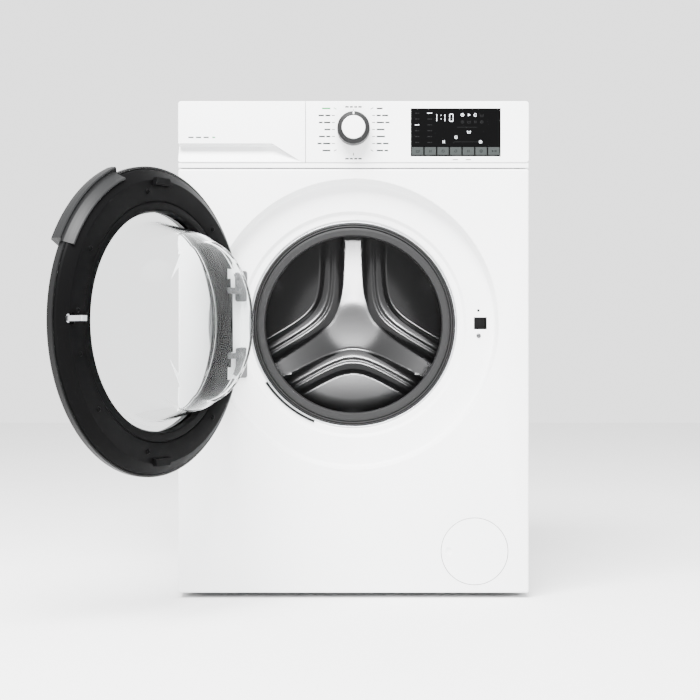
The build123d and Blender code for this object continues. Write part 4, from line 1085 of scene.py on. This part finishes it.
def tube_points(line: Array, radius: float, sides: int) -> Array:
    """Circles about the points of a line, square to it, as a (n, sides, 3) grid."""
    along = np.gradient(line, axis=0)
    along /= np.linalg.norm(along, axis=1, keepdims=True)
    side = np.cross(along, [0.0, 0.0, 1.0])
    side /= np.linalg.norm(side, axis=1, keepdims=True)
    over = np.cross(side, along)
    a = np.linspace(0, 2 * math.pi, sides, endpoint=False)[None, :, None]
    return line[:, None] + radius * (np.cos(a) * side[:, None] + np.sin(a) * over[:, None])


@dataclass
class Door:
    """The open door: outer ring, black liner, bowl, grip, hinge arm, hook and screws."""

    liner_face: float = 14 * MM
    screw_ring: float = 206 * MM
    grip_from: float = 28.0
    grip_to: float = 68.0

    def build(self) -> None:
        """Dress the CAD rings and bowl and add the fastenings."""
        smooth_copy("door_cover", COVER_DARK)
        smooth_copy("door_liner", BLACK)
        smooth_copy("door_glass", GLASS)
        self.grip()
        smooth_copy("door_hinge_arms", BLACK)
        smooth_copy("door_hook", STEEL)
        self.screws()
        self.blocks()
        LOG.info("door dressed")

    def screws(self) -> None:
        """Eight screws round the liner's flat face."""
        spots = []
        for degrees in (4, -14, 31, 79, 131, -40, -79, -131):
            a = math.radians(degrees)
            spots.append((self.screw_ring * math.cos(a), self.screw_ring * math.sin(a)))
        heads = []
        for x, z in spots:
            points, faces = screw_head((x, FRONT + self.liner_face, PORT_Z + z), 4.4 * MM, +1)
            heads.append((swing(points), faces))
        place("liner_screws", *merged(heads), BLACK, "door")

    def grip(self) -> None:
        """The cup grip: a channel bent along the door's rim, with rolled edges and closed ends.

        Its section, out from the door's middle, is an inner rim, a hollow slope and an outer
        lip.
        """
        low, high = self.grip_from, self.grip_to
        steps = 72
        section = np.array([
            (233.0, 5.0), (222.0, -20.0), (224.0, -23.0), (250.0, -23.0), (254.0, -20.0),
            (255.0, -12.0), (254.6, -4.6), (252.8, -3.4), (250.8, -4.8), (248.0, -6.4),
            (245.0, -4.4), (241.6, 0.0), (238.6, 4.6), (236.8, 9.0), (235.2, 10.2), (233.4, 9.2),
        ])
        line = np.concatenate([section, section[:1]])
        t = np.linspace(0, 1, 8)[:, None]
        fine = np.concatenate([(1 - t[:-1]) * a + t[:-1] * b for a, b in zip(line, line[1:])])
        angle = np.linspace(low, high, steps)[:, None]
        r = fine[None, :, 0] * MM
        y = fine[None, :, 1]
        a = np.radians(angle)
        points = np.stack([r * np.cos(a), FRONT + y * MM + 0 * a, PORT_Z + r * np.sin(a)], -1)
        count = len(fine)
        faces = grid_faces(steps, count, False, True)
        points = points.reshape(-1, 3)
        ends = []
        for row in (0, steps - 1):
            rim = row * count + np.arange(count)
            hub = len(points) + len(ends)
            ends.append(np.column_stack([rim, np.roll(rim, -1), np.full(count, hub), np.full(count, hub)]))
        hubs = [points[:count].mean(0), points[-count:].mean(0)]
        points = np.concatenate([points, hubs])
        place(
            "door_grip", swing(points), np.concatenate([faces, *ends]), CUP_GREY, "door",
            replaces=["door_handle"],
        )

    def blocks(self) -> None:
        """The two raised rests on the liner, above and below the bowl."""
        parts = []
        for way in (-1, 1):
            outline = np.array([[-21, 0], [21, 0], [17, 12], [-17, 12]]) * MM
            outline = outline * [1, way] + [6 * MM, PORT_Z + way * 214 * MM]
            points, faces = prism(outline, FRONT + self.liner_face - 0.001, FRONT + self.liner_face + 0.006)
            parts.append((swing(points), faces))
        place("liner_rests", *merged(parts), BLACK, "door")


@dataclass
class Studio:
    """A pale floor, soft light from all round, and the camera."""

    distance: float = 2.6
    eye: Point = (-0.006, 0.0, 0.4244)
    lens: float = 78.2

    def build(self) -> None:
        """Set up floor, world, lamps and camera."""
        self.floor()
        self.world()
        self.lamp("key", (-0.5, -2.0, 3.2), (2.2, 1.6), 700.0)
        self.lamp("low_front", (0.0, -3.3, 0.3), (0.14, 0.2), 38.0)
        self.camera()
        LOG.info("studio ready")

    def floor(self) -> None:
        """A pale plane, far wider than the machine."""
        half = 6.0
        points = np.array([[-half, -half, 0], [half, -half, 0], [half, half, 0], [-half, half, 0]])
        mesh = bpy.data.meshes.new("floor")
        mesh.from_pydata(points.tolist(), [], [(0, 1, 2, 3)])
        plane = bpy.data.objects.new("floor", mesh)
        bpy.context.scene.collection.objects.link(plane)
        paper = Finish("floor_paper", "white_panel", (0.8, 0.8, 0.8), 0.9, grain=60.0)
        mesh.materials.append(paper.material())

    @staticmethod
    def world() -> None:
        """An even white surround."""
        world = bpy.data.worlds.new("studio")
        world.use_nodes = True
        world.node_tree.nodes["Background"].inputs["Color"].default_value = (1, 1, 1, 1)
        world.node_tree.nodes["Background"].inputs["Strength"].default_value = 2.3
        bpy.context.scene.world = world

    @staticmethod
    def lamp(name: str, place_at: Point, size: tuple[float, float], power: float) -> None:
        """A soft rectangular lamp that looks at the middle of the machine."""
        light = bpy.data.lights.new(name, "AREA")
        light.shape = "RECTANGLE"
        light.size, light.size_y = size
        light.energy = power
        lamp = bpy.data.objects.new(name, light)
        lamp.location = place_at
        aim = Vector((0.0, 0.0, 0.45)) - Vector(place_at)
        lamp.rotation_euler = aim.to_track_quat("-Z", "Y").to_euler()
        bpy.context.scene.collection.objects.link(lamp)

    def camera(self) -> None:
        """The camera: level, square on to the front, a long way off."""
        lens = bpy.data.cameras.new("camera")
        lens.lens = self.lens
        lens.sensor_width = 36.0
        lens.clip_end = 50.0
        eye = bpy.data.objects.new("camera", lens)
        eye.location = (self.eye[0], FRONT - self.distance, self.eye[2])
        eye.rotation_euler = (math.radians(90), 0.0, 0.0)
        bpy.context.scene.collection.objects.link(eye)
        bpy.context.scene.camera = eye


def main() -> None:
    """Build every sub-assembly in order."""
    logging.basicConfig(level=logging.INFO)
    Studio().build()
    Cabinet().build()
    Controls().build()
    Seal().build()
    Drum().build()
    Door().build()


if __name__ == "__main__":
    main()
